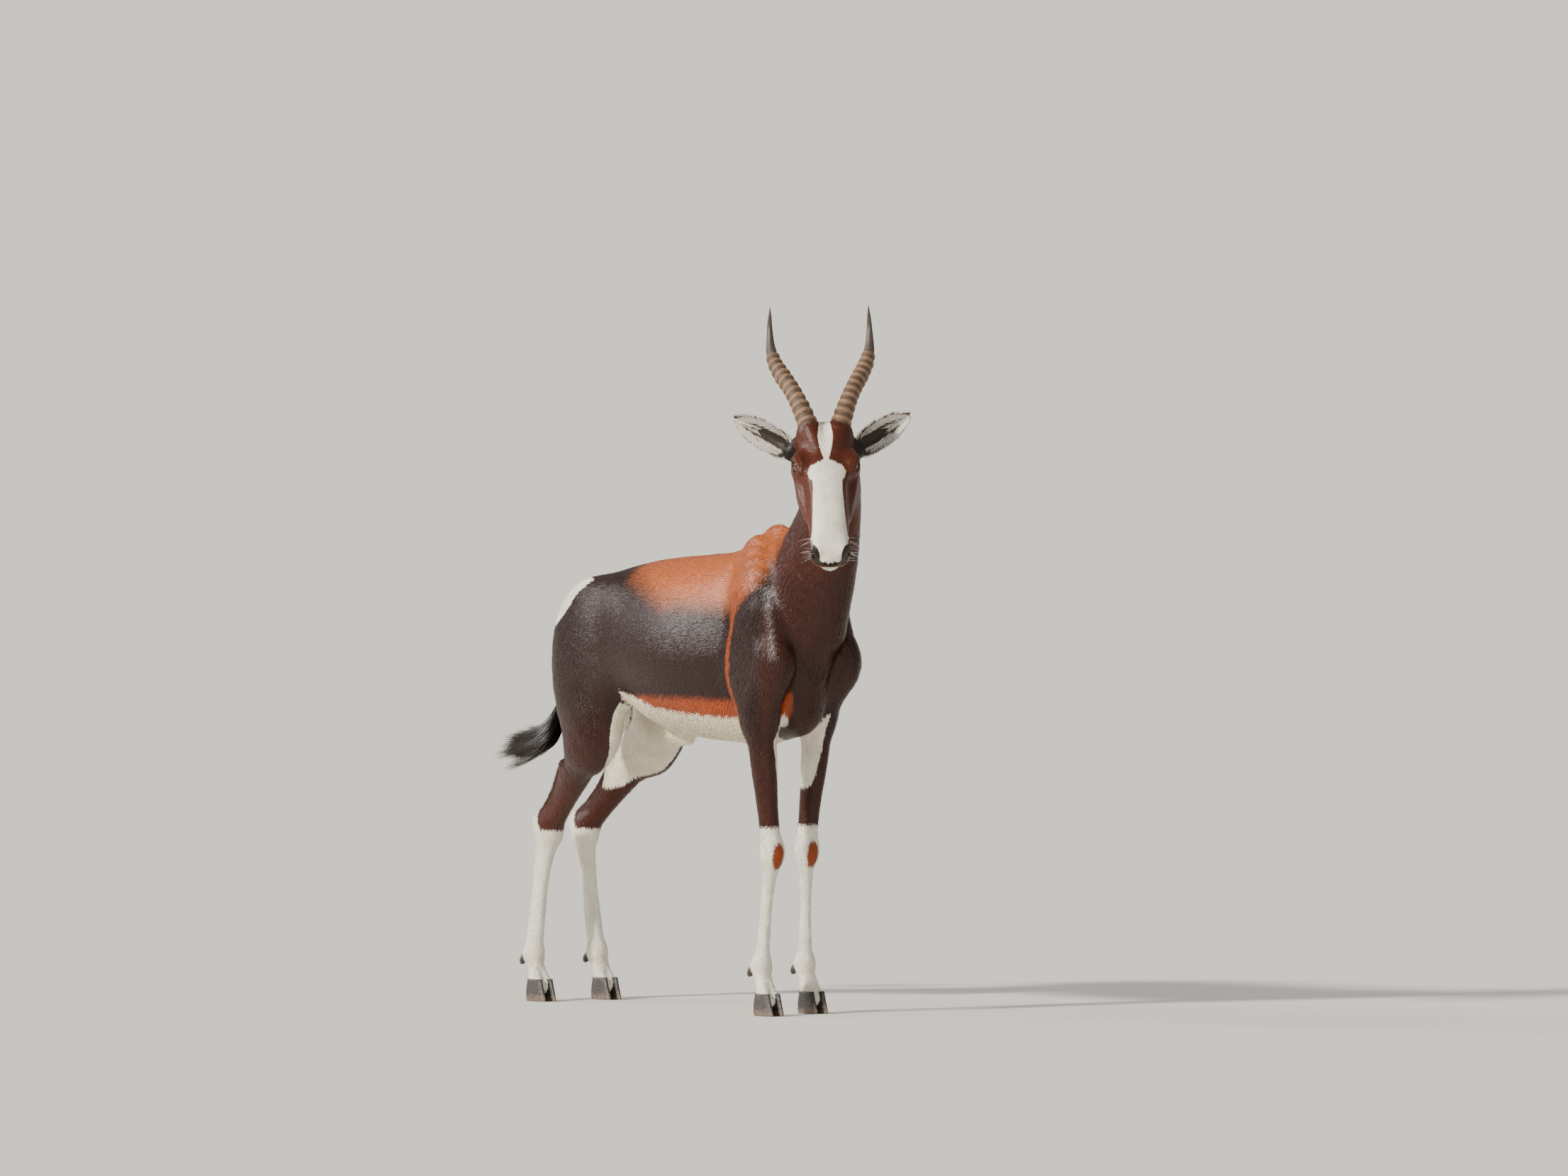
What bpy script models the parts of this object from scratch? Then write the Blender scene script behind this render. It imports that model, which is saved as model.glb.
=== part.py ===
"""A bontebok ram standing still, life size, in metres: +X the way its body points, +Y its left, +Z up.

The flesh is one distance function, the smooth union of muscles, bones and hide between named
landmarks. Each sub-part is that flesh, meshed in its own region and parted from its neighbours by
a thin cut. Horns, ears, eyes, hooves, dewclaws and the tail's hair are modelled on it.
"""
from math import cos, pi, radians, sin

import bmesh
import bpy
import numpy as np
from mathutils import Matrix, Vector

GAP = 0.0003  # between parts that meet

# Landmarks are measured from the ground under the withers
CORONET = 0.040  # height of the hoof's upper edge in front

X_AXIS = np.array([1.0, 0, 0])
LEFT = np.array([0, 1.0, 0])
UP = np.array([0, 0, 1.0])
SIDES = {"right": -1, "left": 1}

# The head looks to the animal's right, with its face sloping down
HEAD_TURN = radians(-29.5)
HEAD_SLOPE = radians(45)
HEAD_ROLL = radians(1.0)
HEAD_LENGTH = 0.314
POLL = np.array([0.2257, -0.0419, 1.1121])
AHEAD = np.array([cos(HEAD_TURN), sin(HEAD_TURN), 0])
LEVEL = np.array([-sin(HEAD_TURN), cos(HEAD_TURN), 0])
ACROSS = LEVEL * cos(HEAD_ROLL) + UP * sin(HEAD_ROLL)
CROWN = UP * cos(HEAD_ROLL) - LEVEL * sin(HEAD_ROLL)
FACE = AHEAD * cos(HEAD_SLOPE) - CROWN * sin(HEAD_SLOPE)
BROW = np.cross(FACE, ACROSS)
HEAD_AXES = np.array([FACE, ACROSS, BROW])

EYE_RADIUS = 0.0160
EYE_PLACE = (0.0980, 0.0440, -0.0265)
HORN_SEAT = (0.032, 0.0255, -0.006)
EAR_ROOT = (0.026, 0.060, -0.064)

FORE = {
    "right": {
        "shoulder": (0.110, -0.078, 0.652),
        "elbow": (0.060, -0.079, 0.540),
        "knee": (0.076, -0.062, 0.306),
        "fetlock": (0.046, -0.066, 0.092),
        "toe": (0.068, -0.067, 0.026),
    },
    "left": {
        "shoulder": (0.100, 0.074, 0.652),
        "elbow": (0.018, 0.073, 0.540),
        "knee": (0.014, 0.052, 0.306),
        "fetlock": (-0.004, 0.060, 0.092),
        "toe": (0.018, 0.061, 0.026),
    },
}
HIND = {
    "right": {
        "stifle": (-0.462, -0.094, 0.530),
        "hock": (-0.704, -0.062, 0.322),
        "fetlock": (-0.732, -0.080, 0.088),
        "toe": (-0.708, -0.082, 0.026),
    },
    "left": {
        "stifle": (-0.530, 0.088, 0.524),
        "hock": (-0.754, 0.048, 0.320),
        "fetlock": (-0.734, 0.060, 0.088),
        "toe": (-0.710, 0.062, 0.026),
    },
}
TAIL_BONES = [(-0.672, 0, 0.735), (-0.706, 0, 0.700), (-0.736, 0, 0.620), (-0.756, -0.004, 0.530)]
TAIL_TIP = (-0.915, -0.045, 0.452)


def unit(v):
    v = np.asarray(v, float)
    return v / np.linalg.norm(v)


def at_head(x, y, z):
    """A point given along the face, across the head and up from the brow line."""
    return POLL + np.array([x, y, z]) @ HEAD_AXES


def along_head(s, *places):
    """Points on the head's side s, each given as for at_head."""
    return [at_head(x, s * y, z) for x, y, z in places]


def eye_out(s):
    """The way an eye looks: sideways, a little forward and up."""
    return unit(FACE * 0.47 + ACROSS * s * 0.76 + BROW * 0.45)


def between(a, b, share):
    return np.asarray(a, float) * (1 - share) + np.asarray(b, float) * share


def smooth_curve(stations, values, x):
    """The values between stations, with the slope of their neighbours at each."""
    s = np.asarray(stations, float)
    v = np.asarray(values, float)
    x = np.clip(x, s[0], s[-1])
    i = np.clip(np.searchsorted(s, x) - 1, 0, len(s) - 2)
    slope = np.gradient(v, s)
    h = s[i + 1] - s[i]
    t = (x - s[i]) / h
    return (
        (2 * t**3 - 3 * t**2 + 1) * v[i]
        + (t**3 - 2 * t**2 + t) * h * slope[i]
        + (3 * t**2 - 2 * t**3) * v[i + 1]
        + (t**3 - t**2) * h * slope[i + 1]
    )


# Forms of flesh. Each has a distance function, a ball that holds it, and how softly it joins.

NEAR = 0.06  # a form is asked for points within this of its ball


class Form:
    """One piece of flesh, or one hollow."""

    def __init__(self, distance, centre, reach, blend):
        self.distance = distance
        self.centre = np.asarray(centre, float)
        self.reach = reach
        self.blend = blend


def bulge(centre, radii, aim=X_AXIS, side=UP, blend=0.03):
    """An ellipsoid: radii along aim, then across, then towards side."""
    x = unit(aim)
    z = unit(side - x * (x @ side))
    axes = np.array([x, np.cross(z, x), z])
    r = np.asarray(radii, float)
    c = np.asarray(centre, float)

    def distance(p):
        q = (p - c) @ axes.T
        k0 = np.linalg.norm(q / r, axis=1)
        k1 = np.linalg.norm(q / (r * r), axis=1)
        return k0 * (k0 - 1) / np.maximum(k1, 1e-9)

    return Form(distance, c, r.max(), blend)


def tube(points, across, deep, side=LEFT, blend=0.02):
    """An oval tube on a smooth path: half width across, along side, and half depth deep."""
    pts = np.asarray(points, float)
    lengths = np.linalg.norm(np.diff(pts, axis=0), axis=1)
    s = np.concatenate([[0], np.cumsum(lengths)])
    steps = 4 * (len(pts) - 1)
    t = np.linspace(0, s[-1], steps + 1)
    path = np.stack([smooth_curve(s, pts[:, i], t) for i in range(3)], axis=1)
    w = smooth_curve(s, across, t)
    h = smooth_curve(s, deep, t)
    side = unit(side)

    def distance(p):
        best = np.full(len(p), 1.0)
        for i in range(steps):
            run = path[i + 1] - path[i]
            u = np.clip((p - path[i]) @ run / (run @ run), 0, 1)
            off = p - path[i] - u[:, None] * run
            wide = w[i] + u * (w[i + 1] - w[i])
            high = h[i] + u * (h[i + 1] - h[i])
            lateral = off @ side
            away = np.linalg.norm(off, axis=1)
            rest = np.maximum(away**2 - lateral**2, 0)
            q = np.sqrt((lateral / wide) ** 2 + rest / high**2)
            d = np.where(q < 1e-6, -np.minimum(wide, high), away * (1 - 1 / np.maximum(q, 1e-6)))
            best = np.minimum(best, d)
        return best

    middle = (path.min(axis=0) + path.max(axis=0)) / 2
    reach = np.linalg.norm(path - middle, axis=1).max() + max(w.max(), h.max())
    return Form(distance, middle, reach, blend)


def lofted(rows, origin=np.zeros(3), axes=np.eye(3), blend=0.03):
    """A body along its own x. Each row is x, top, bottom, half width, the height of the widest
    place as a share, and how square the section is above and below it (2 is an ellipse)."""
    x_at, top, bottom, wide, waist, above, below = np.array(rows, float).T

    def distance(p):
        q = (p - origin) @ axes.T
        x = np.clip(q[:, 0], x_at[0], x_at[-1])
        z_top = smooth_curve(x_at, top, x)
        z_low = smooth_curve(x_at, bottom, x)
        z_mid = z_low + smooth_curve(x_at, waist, x) * (z_top - z_low)
        dz = q[:, 2] - z_mid
        power = np.where(dz > 0, smooth_curve(x_at, above, x), smooth_curve(x_at, below, x))
        high = np.where(dz > 0, z_top - z_mid, z_mid - z_low)
        across = np.abs(q[:, 1]) / smooth_curve(x_at, wide, x)
        f = (across**power + np.abs(dz / high) ** power) ** (1 / power)
        d = np.hypot(q[:, 1], dz) * (1 - 1 / np.maximum(f, 1e-6))
        past = q[:, 0] - x
        return np.where(past == 0, d, np.hypot(np.maximum(d, 0), past))

    low = np.array([x_at[0], -wide.max(), bottom.min()])
    high = np.array([x_at[-1], wide.max(), top.max()])
    middle = origin + (low + high) / 2 @ axes
    return Form(distance, middle, np.linalg.norm(high - low) / 2, blend)


def smooth_min(a, b, blend):
    share = np.maximum(blend - np.abs(a - b), 0) / blend
    return np.minimum(a, b) - share * share * blend / 4


def joined(forms, points):
    """The distance to the smooth union of the forms."""
    d = np.full(len(points), 1.0)
    for form in forms:
        near = np.linalg.norm(points - form.centre, axis=1) < form.reach + NEAR
        if near.any():
            d[near] = smooth_min(d[near], form.distance(points[near]), form.blend)
    return d


def carved(hollows, points, d):
    """The distance with the hollows taken out of it, each with a soft rim."""
    for hollow in hollows:
        near = np.linalg.norm(points - hollow.centre, axis=1) < hollow.reach + NEAR
        if near.any():
            d[near] = -smooth_min(-d[near], hollow.distance(points[near]), hollow.blend)
    return d


def trunk_forms():
    rows = [
        (-0.700, 0.715, 0.660, 0.020, 0.50, 2.00, 2.0),
        (-0.665, 0.742, 0.630, 0.046, 0.48, 1.90, 2.1),
        (-0.600, 0.776, 0.605, 0.067, 0.46, 1.70, 2.1),
        (-0.520, 0.808, 0.580, 0.092, 0.46, 1.75, 2.2),
        (-0.420, 0.828, 0.548, 0.116, 0.45, 1.85, 2.2),
        (-0.320, 0.839, 0.516, 0.128, 0.43, 1.80, 2.2),
        (-0.220, 0.847, 0.504, 0.129, 0.43, 1.70, 2.1),
        (-0.120, 0.860, 0.500, 0.114, 0.43, 1.50, 2.0),
        (-0.050, 0.893, 0.500, 0.098, 0.42, 1.22, 1.9),
        (0.010, 0.912, 0.506, 0.084, 0.42, 1.15, 1.8),
        (0.060, 0.862, 0.528, 0.070, 0.42, 1.45, 1.8),
        (0.110, 0.780, 0.566, 0.052, 0.45, 1.80, 1.8),
        (0.134, 0.730, 0.615, 0.028, 0.45, 2.00, 2.0),
    ]
    return [
        lofted(rows, blend=0.05),
        bulge((-0.345, 0, 0.508), (0.045, 0.014, 0.019), aim=(1, 0, -0.2), blend=0.03),
        bulge((-0.560, 0, 0.545), (0.024, 0.026, 0.044), blend=0.02),
        bulge((0.070, 0, 0.565), (0.045, 0.038, 0.042), blend=0.05),
    ]


def neck_forms():
    path = [
        (0.030, 0, 0.715), (0.097, 0.003, 0.810), (0.156, 0.004, 0.905), (0.200, -0.010, 0.985),
        (0.222, -0.030, 1.045),
    ]
    throat = [(0.144, 0.020, 0.715), (0.176, 0.018, 0.785), (0.208, 0.010, 0.865), (0.238, -0.012, 0.985)]
    return [
        tube(path, [0.074, 0.064, 0.053, 0.047, 0.044], [0.125, 0.098, 0.078, 0.066, 0.052],
             side=(0.25, 0.97, 0), blend=0.05),
        tube(throat, [0.028, 0.027, 0.024, 0.017], [0.028, 0.027, 0.024, 0.017], blend=0.05),
    ]


def head_forms():
    rows = [
        (-0.030, -0.066, -0.085, 0.020, 0.60, 2.0, 2.00),
        (-0.010, -0.030, -0.100, 0.036, 0.62, 2.1, 1.80),
        (0.020, -0.006, -0.120, 0.047, 0.66, 2.2, 1.60),
        (0.050, 0.000, -0.136, 0.051, 0.68, 2.2, 1.55),
        (0.080, 0.002, -0.146, 0.051, 0.68, 2.3, 1.45),
        (0.119, 0.000, -0.143, 0.0485, 0.66, 2.4, 1.40),
        (0.164, -0.004, -0.126, 0.0445, 0.62, 2.4, 1.45),
        (0.210, -0.010, -0.107, 0.039, 0.56, 2.4, 1.60),
        (0.255, -0.017, -0.094, 0.0360, 0.52, 2.4, 1.90),
        (0.282, -0.022, -0.089, 0.0375, 0.50, 2.3, 2.10),
        (0.303, -0.030, -0.082, 0.0330, 0.50, 2.2, 2.20),
        (HEAD_LENGTH, -0.045, -0.068, 0.0180, 0.50, 2.0, 2.00),
    ]
    forms = [lofted(rows, origin=POLL, axes=HEAD_AXES, blend=0.03)]
    for s in SIDES.values():
        socket = along_head(s, (0.078, 0.054, -0.020), (0.100, 0.055, -0.011), (0.122, 0.050, -0.020))
        cheek = along_head(s, (0.092, 0.052, -0.050), (0.138, 0.0455, -0.060), (0.197, 0.036, -0.060))
        ear_stub = [at_head(0.020, s * 0.040, -0.052), at_head(*np.multiply(EAR_ROOT, (1, s, 1)))]
        eye = at_head(*np.multiply(EYE_PLACE, (1, s, 1)))
        horn_base = at_head(*np.multiply(HORN_SEAT, (1, s, 1)))
        rise = unit(ACROSS * s * 0.0145 + CROWN * 0.040 - AHEAD * 0.020)
        pedicle = [horn_base - rise * 0.035, horn_base]
        forms += [
            bulge(at_head(0.098, s * 0.044, -0.027), (0.034, 0.016, 0.022), FACE, BROW, 0.014),
            bulge(at_head(0.086, s * 0.051, -0.042), (0.018, 0.0130, 0.013), FACE, BROW, 0.010),
            tube(socket, [0.0065, 0.0070, 0.0060], [0.0065, 0.0070, 0.0060], blend=0.010),
            bulge(at_head(0.100, s * 0.037, -0.088), (0.048, 0.018, 0.040), FACE, BROW, 0.020),
            tube(cheek, [0.0065, 0.0080, 0.0060], [0.008, 0.010, 0.009], side=ACROSS, blend=0.014),
            bulge(at_head(0.030, s * 0.031, -0.014), (0.024, 0.020, 0.022), FACE, BROW, 0.016),
            tube(pedicle, [0.0215, 0.0212], [0.0250, 0.0250], side=ACROSS, blend=0.012),
            bulge(eye, (EYE_RADIUS + 0.0026,) * 3, blend=0.006),
            tube(ear_stub, [0.019, 0.016], [0.019, 0.017], blend=0.014),
            bulge(at_head(0.288, s * 0.0215, -0.042), (0.022, 0.014, 0.017), FACE, BROW, 0.010),
            bulge(at_head(0.280, s * 0.0180, -0.071), (0.026, 0.018, 0.010), FACE, BROW, 0.008),
        ]
    forms.append(bulge(at_head(0.278, 0, -0.088), (0.026, 0.021, 0.0095), FACE, BROW, 0.008))
    return forms


def head_hollows():
    hollows = []
    for s in SIDES.values():
        nostril = along_head(s, (0.280, 0.0335, -0.034), (0.292, 0.0350, -0.043), (0.303, 0.0270, -0.054))
        corner = along_head(s, (0.228, 0.043, -0.079), (0.257, 0.040, -0.081), (0.293, 0.031, -0.0825))
        chin = along_head(s, (0.293, 0.031, -0.0825), (0.307, 0.012, -0.0800), (0.309, 0, -0.0795))
        temple = at_head(0.062, s * 0.066, -0.036)
        out = eye_out(s)
        opening = at_head(*np.multiply(EYE_PLACE, (1, s, 1))) + out * EYE_RADIUS
        hollows += [
            tube(nostril, [0.0022, 0.0036, 0.0020], [0.0034, 0.0050, 0.0026], side=ACROSS, blend=0.004),
            tube(corner, [0.0045, 0.0050, 0.0040], [0.0012, 0.0014, 0.0014], side=ACROSS, blend=0.003),
            tube(chin, [0.0040, 0.0030, 0.0030], [0.0014, 0.0014, 0.0014], side=ACROSS, blend=0.003),
            bulge(temple, (0.020, 0.008, 0.014), FACE, BROW, 0.016),
            bulge(opening, (0.0130, 0.0078, 0.0100), FACE, out, 0.002),
            bulge(at_head(0.169, s * 0.052, -0.030), (0.046, 0.012, 0.014), FACE, BROW, 0.016),
        ]
    return hollows


def fore_leg_forms(side):
    s = SIDES[side]
    leg = {name: np.array(place) for name, place in FORE[side].items()}
    blade_top = np.array([-0.022, s * 0.030, 0.838])
    blade = [
        blade_top,
        between(blade_top, leg["shoulder"], 0.5) + (0, s * 0.022, 0),
        leg["shoulder"] + (-0.012, 0, 0),
    ]
    upper_arm = [leg["shoulder"] + (-0.010, 0, 0), leg["elbow"] + (0.008, 0, 0.020)]
    forearm = [
        leg["elbow"] + (0.004, 0, 0.015),
        between(leg["elbow"], leg["knee"], 0.28) + (0.003, 0, 0),
        between(leg["elbow"], leg["knee"], 0.70),
        leg["knee"],
    ]
    cannon = [
        leg["knee"] + (0, 0, -0.020),
        between(leg["knee"], leg["fetlock"], 0.25),
        between(leg["knee"], leg["fetlock"], 0.80),
        leg["fetlock"],
    ]
    triceps = leg["elbow"] + (-0.034, s * 0.002, 0.080)
    return [
        tube(blade, [0.017, 0.026, 0.025], [0.050, 0.066, 0.052], blend=0.040),
        bulge(leg["shoulder"] + (0, s * 0.003, 0.002), (0.036, 0.025, 0.040), blend=0.026),
        tube(upper_arm, [0.026, 0.025], [0.050, 0.044], blend=0.030),
        bulge(triceps, (0.092, 0.060, 0.026), aim=(0.55, 0, -1), side=LEFT, blend=0.030),
        bulge(leg["elbow"] + (-0.028, 0, 0.004), (0.017, 0.014, 0.026), blend=0.022),
        tube(forearm, [0.0260, 0.0235, 0.0185, 0.0185], [0.0370, 0.0320, 0.0235, 0.0220], blend=0.026),
        bulge(leg["knee"] + (0.004, 0, -0.002), (0.0230, 0.0215, 0.0290), blend=0.014),
        tube(cannon, [0.0165, 0.0124, 0.0120, 0.0155], [0.0190, 0.0165, 0.0160, 0.0180], blend=0.014),
    ] + foot_forms(leg)


def hind_leg_forms(side):
    s = SIDES[side]
    leg = {name: np.array(place) for name, place in HIND[side].items()}
    shank = leg["hock"] - leg["stifle"]
    heel = leg["hock"] + (-0.034, 0, 0.010)
    thigh = [
        (-0.545, s * 0.070, 0.690),
        between((-0.560, s * 0.078, 0.700), leg["stifle"], 0.5) + (-0.015, s * 0.006, -0.008),
        leg["stifle"] + (-0.045, 0, -0.025),
    ]
    fold = [(-0.395, s * 0.084, 0.668), leg["stifle"] + (0.028, 0, 0.050), leg["stifle"] + (0.008, 0, -0.014)]
    gaskin = [
        leg["stifle"] + (-0.035, 0, -0.010),
        leg["stifle"] + shank * 0.40 + (-0.006, 0, 0.004),
        leg["stifle"] + shank * 0.75,
        leg["hock"],
    ]
    tendon = [
        leg["stifle"] + shank * 0.50 + (-0.045, 0, 0.020),
        leg["stifle"] + shank * 0.80 + (-0.035, 0, 0.015),
        heel,
    ]
    cannon = [
        leg["hock"] + (-0.004, 0, -0.015),
        between(leg["hock"], leg["fetlock"], 0.25) + (-0.005, 0, 0),
        between(leg["hock"], leg["fetlock"], 0.80) + (-0.001, 0, 0),
        leg["fetlock"],
    ]
    flexor = [
        heel + (0.004, 0, -0.010),
        between(leg["hock"], leg["fetlock"], 0.30) + (-0.020, 0, 0),
        between(leg["hock"], leg["fetlock"], 0.85) + (-0.012, 0, 0),
    ]
    return [
        bulge((-0.515, s * 0.060, 0.720), (0.115, 0.040, 0.074), aim=(1, 0, 0.2), blend=0.045),
        bulge((-0.605, s * 0.054, 0.646), (0.064, 0.036, 0.080), aim=(1, 0, 0.2), blend=0.040),
        tube(thigh, [0.033, 0.036, 0.033], [0.088, 0.102, 0.076], blend=0.045),
        tube(fold, [0.014, 0.020, 0.021], [0.026, 0.032, 0.030], blend=0.040),
        tube(gaskin, [0.0330, 0.0255, 0.0180, 0.0190], [0.0560, 0.0420, 0.0255, 0.0240], blend=0.032),
        tube(tendon, [0.0090, 0.0062, 0.0100], [0.0110, 0.0078, 0.0120], blend=0.020),
        bulge(leg["hock"], (0.0270, 0.0215, 0.0330), blend=0.018),
        bulge(heel, (0.0140, 0.0125, 0.0190), blend=0.016),
        tube(cannon, [0.0185, 0.0148, 0.0140, 0.0160], [0.0260, 0.0195, 0.0180, 0.0190], blend=0.016),
        tube(flexor, [0.0090, 0.0085, 0.0090], [0.0105, 0.0095, 0.0095], blend=0.012),
    ] + foot_forms(leg)


def foot_forms(leg):
    """The fetlock and the pastern, which parts in two above the hooves."""
    forms = [bulge(leg["fetlock"], (0.0205, 0.0192, 0.0215), blend=0.012)]
    for s in SIDES.values():
        middle = between(leg["fetlock"], leg["toe"], 0.5) + (0.001, s * 0.0070, 0)
        toe = leg["toe"] + (0.004, s * 0.0100, 0)
        forms.append(tube([leg["fetlock"] + (0, s * 0.004, 0), middle, toe],
                          [0.0120, 0.0095, 0.0102], [0.0150, 0.0145, 0.0210], blend=0.008))
    return forms


def tail_forms():
    return [tube(TAIL_BONES, [0.022, 0.015, 0.0105, 0.0080], [0.022, 0.014, 0.0100, 0.0080], blend=0.022)]


def flesh_forms():
    forms = trunk_forms() + neck_forms() + head_forms() + tail_forms()
    for side in SIDES:
        forms += fore_leg_forms(side) + hind_leg_forms(side)
    return forms


FORMS = flesh_forms()
HOLLOWS = head_hollows()


def flesh(points):
    return carved(HOLLOWS, points, joined(FORMS, points))


# Meshing


def settled(field, cell):
    """Fills grid points where two sheets of the surface would touch along an edge or at a point."""
    unit_steps = [(0, 0, 1), (0, 1, 0), (1, 0, 0)]

    def at(array, step):
        return array[tuple(slice(i, n - 1 + i) for i, n in zip(step, array.shape))]

    changed = True
    while changed:
        inside = field < 0
        fill = np.zeros_like(inside)
        for a in range(3):
            for b in range(a):
                e, f = unit_steps[a], unit_steps[b]
                near, far = at(inside, (0, 0, 0)), at(inside, np.add(e, f))
                one, two = at(inside, e), at(inside, f)
                at(fill, e)[...] |= near & far & ~one & ~two
                at(fill, (0, 0, 0))[...] |= ~near & ~far & one & two
        corners = [(i, j, k) for i in (0, 1) for j in (0, 1) for k in (0, 1)]
        count = sum(at(inside, c).astype(int) for c in corners)
        for c in corners[:4]:
            opposite = tuple(1 - i for i in c)
            both = at(inside, c) & at(inside, opposite) & (count == 2)
            neither = ~at(inside, c) & ~at(inside, opposite) & (count == 6)
            at(fill, (c[0], c[1], 1 - c[2]))[...] |= both
            at(fill, c)[...] |= neither
        fill &= ~inside
        changed = fill.any()
        field[fill] = -0.02 * cell
    return field


def surface_nets(distance, low, high, cell):
    """Points and quads of the closed surface where the distance is nought, from a grid of cells."""
    low = np.asarray(low, float)
    count = np.ceil((np.asarray(high) - low) / cell).astype(int) + 1
    axes = [low[i] + cell * np.arange(count[i]) for i in range(3)]
    grid = np.stack(np.meshgrid(*axes, indexing="ij"), axis=-1).reshape(-1, 3)
    field = settled(distance(grid).reshape(count), cell)
    inside = field < 0
    n = count - 1
    corners = sum(
        inside[i:n[0] + i, j:n[1] + j, k:n[2] + k].astype(int) for i in (0, 1) for j in (0, 1) for k in (0, 1)
    )
    mixed = (corners > 0) & (corners < 8)
    number = np.full(n, -1)
    number[mixed] = np.arange(mixed.sum())
    cells = np.argwhere(mixed)
    total = np.zeros((len(cells), 3))
    hits = np.zeros(len(cells))
    faces = []
    for axis in range(3):
        step = np.eye(3, dtype=int)[axis]
        b, c = np.eye(3, dtype=int)[(axis + 1) % 3], np.eye(3, dtype=int)[(axis + 2) % 3]
        for start in (cells, cells + b, cells + c, cells + b + c):
            f0, f1 = field[tuple(start.T)], field[tuple((start + step).T)]
            crossed = (f0 < 0) != (f1 < 0)
            t = np.where(crossed, f0 / np.where(crossed, f0 - f1, 1), 0)
            total[crossed] += (start + t[:, None] * step)[crossed]
            hits[crossed] += 1
        first = tuple(slice(0 if i == axis else 1, count[i] - 1) for i in range(3))
        second = tuple(slice(1, count[i] if i == axis else count[i] - 1) for i in range(3))
        at = np.argwhere(inside[first] != inside[second]) + (1 - step)
        quad = np.stack([number[tuple(r.T)] for r in (at, at - b, at - b - c, at - c)], axis=1)
        inward = ~inside[tuple(at.T)]
        quad[inward] = quad[inward][:, ::-1]
        faces.append(quad)
    return low + cell * total / hits[:, None], np.concatenate(faces)


def add_object(name, points, faces):
    mesh = bpy.data.meshes.new(name)
    mesh.from_pydata([tuple(map(float, p)) for p in points], [], [tuple(map(int, f)) for f in faces])
    obj = bpy.data.objects.new(name, mesh)
    bpy.context.collection.objects.link(obj)
    return obj


def apply_modifiers(obj):
    """The object's mesh becomes what its modifiers make of it."""
    graph = bpy.context.evaluated_depsgraph_get()
    mesh = bpy.data.meshes.new_from_object(obj.evaluated_get(graph), depsgraph=graph)
    obj.modifiers.clear()
    old = obj.data
    obj.data = mesh
    mesh.name = obj.name
    bpy.data.meshes.remove(old)


def keep_largest(obj):
    """Drops every closed surface but the one with the most faces."""
    bm = bmesh.new()
    bm.from_mesh(obj.data)
    left = set(bm.verts)
    shells = []
    while left:
        shell = {left.pop()}
        edge = list(shell)
        while edge:
            for link in edge.pop().link_edges:
                for vert in link.verts:
                    if vert in left:
                        left.discard(vert)
                        shell.add(vert)
                        edge.append(vert)
        shells.append(shell)
    shells.sort(key=len)
    for shell in shells[:-1]:
        bmesh.ops.delete(bm, geom=list(shell), context="VERTS")
    bm.to_mesh(obj.data)
    bm.free()


def cutter_box(name, centre, size, axes=np.eye(3)):
    """A box that cuts: it is left out of the model."""
    signs = np.array([(i, j, k) for i in (-1, 1) for j in (-1, 1) for k in (-1, 1)])
    points = np.asarray(centre) + (signs * np.asarray(size) / 2) @ axes
    faces = [(0, 1, 3, 2), (4, 6, 7, 5), (0, 4, 5, 1), (2, 3, 7, 6), (0, 2, 6, 4), (1, 5, 7, 3)]
    box = add_object(name, points, faces)
    box.hide_render = True
    box.display_type = "WIRE"
    return box


def boolean(obj, other, operation, solver="EXACT"):
    cut = obj.modifiers.new("cut", "BOOLEAN")
    cut.operation = operation
    cut.solver = solver
    cut.object = other
    apply_modifiers(obj)


def coarsened(obj, triangles):
    """Collapses the mesh to about so many triangles, fewest where it is flattest."""
    bm = bmesh.new()
    bm.from_mesh(obj.data)
    bmesh.ops.triangulate(bm, faces=bm.faces)
    bm.to_mesh(obj.data)
    bm.free()
    few = obj.modifiers.new("fewer faces", "DECIMATE")
    few.ratio = triangles / len(obj.data.polygons)
    apply_modifiers(obj)


class Region:
    """A box that parts one sub-part from the rest of the flesh: cell size and number of triangles."""

    def __init__(self, name, centre, size, cell, triangles, axes=np.eye(3)):
        self.name = name
        self.centre = np.asarray(centre, float)
        self.size = np.asarray(size, float)
        self.axes = axes
        self.cell = cell
        self.triangles = triangles

    def distance(self, p):
        """How far outside the box a point is, along its worst side."""
        return (np.abs((p - self.centre) @ self.axes.T) - self.size / 2).max(axis=1)

    def reach(self):
        half = np.abs(self.axes.T) @ (self.size / 2)
        return self.centre - half, self.centre + half


def tilted(slope):
    """Axes turned about the animal's left, nose up by slope."""
    return np.array([[cos(slope), 0, sin(slope)], [0, 1, 0], [-sin(slope), 0, cos(slope)]])


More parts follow.
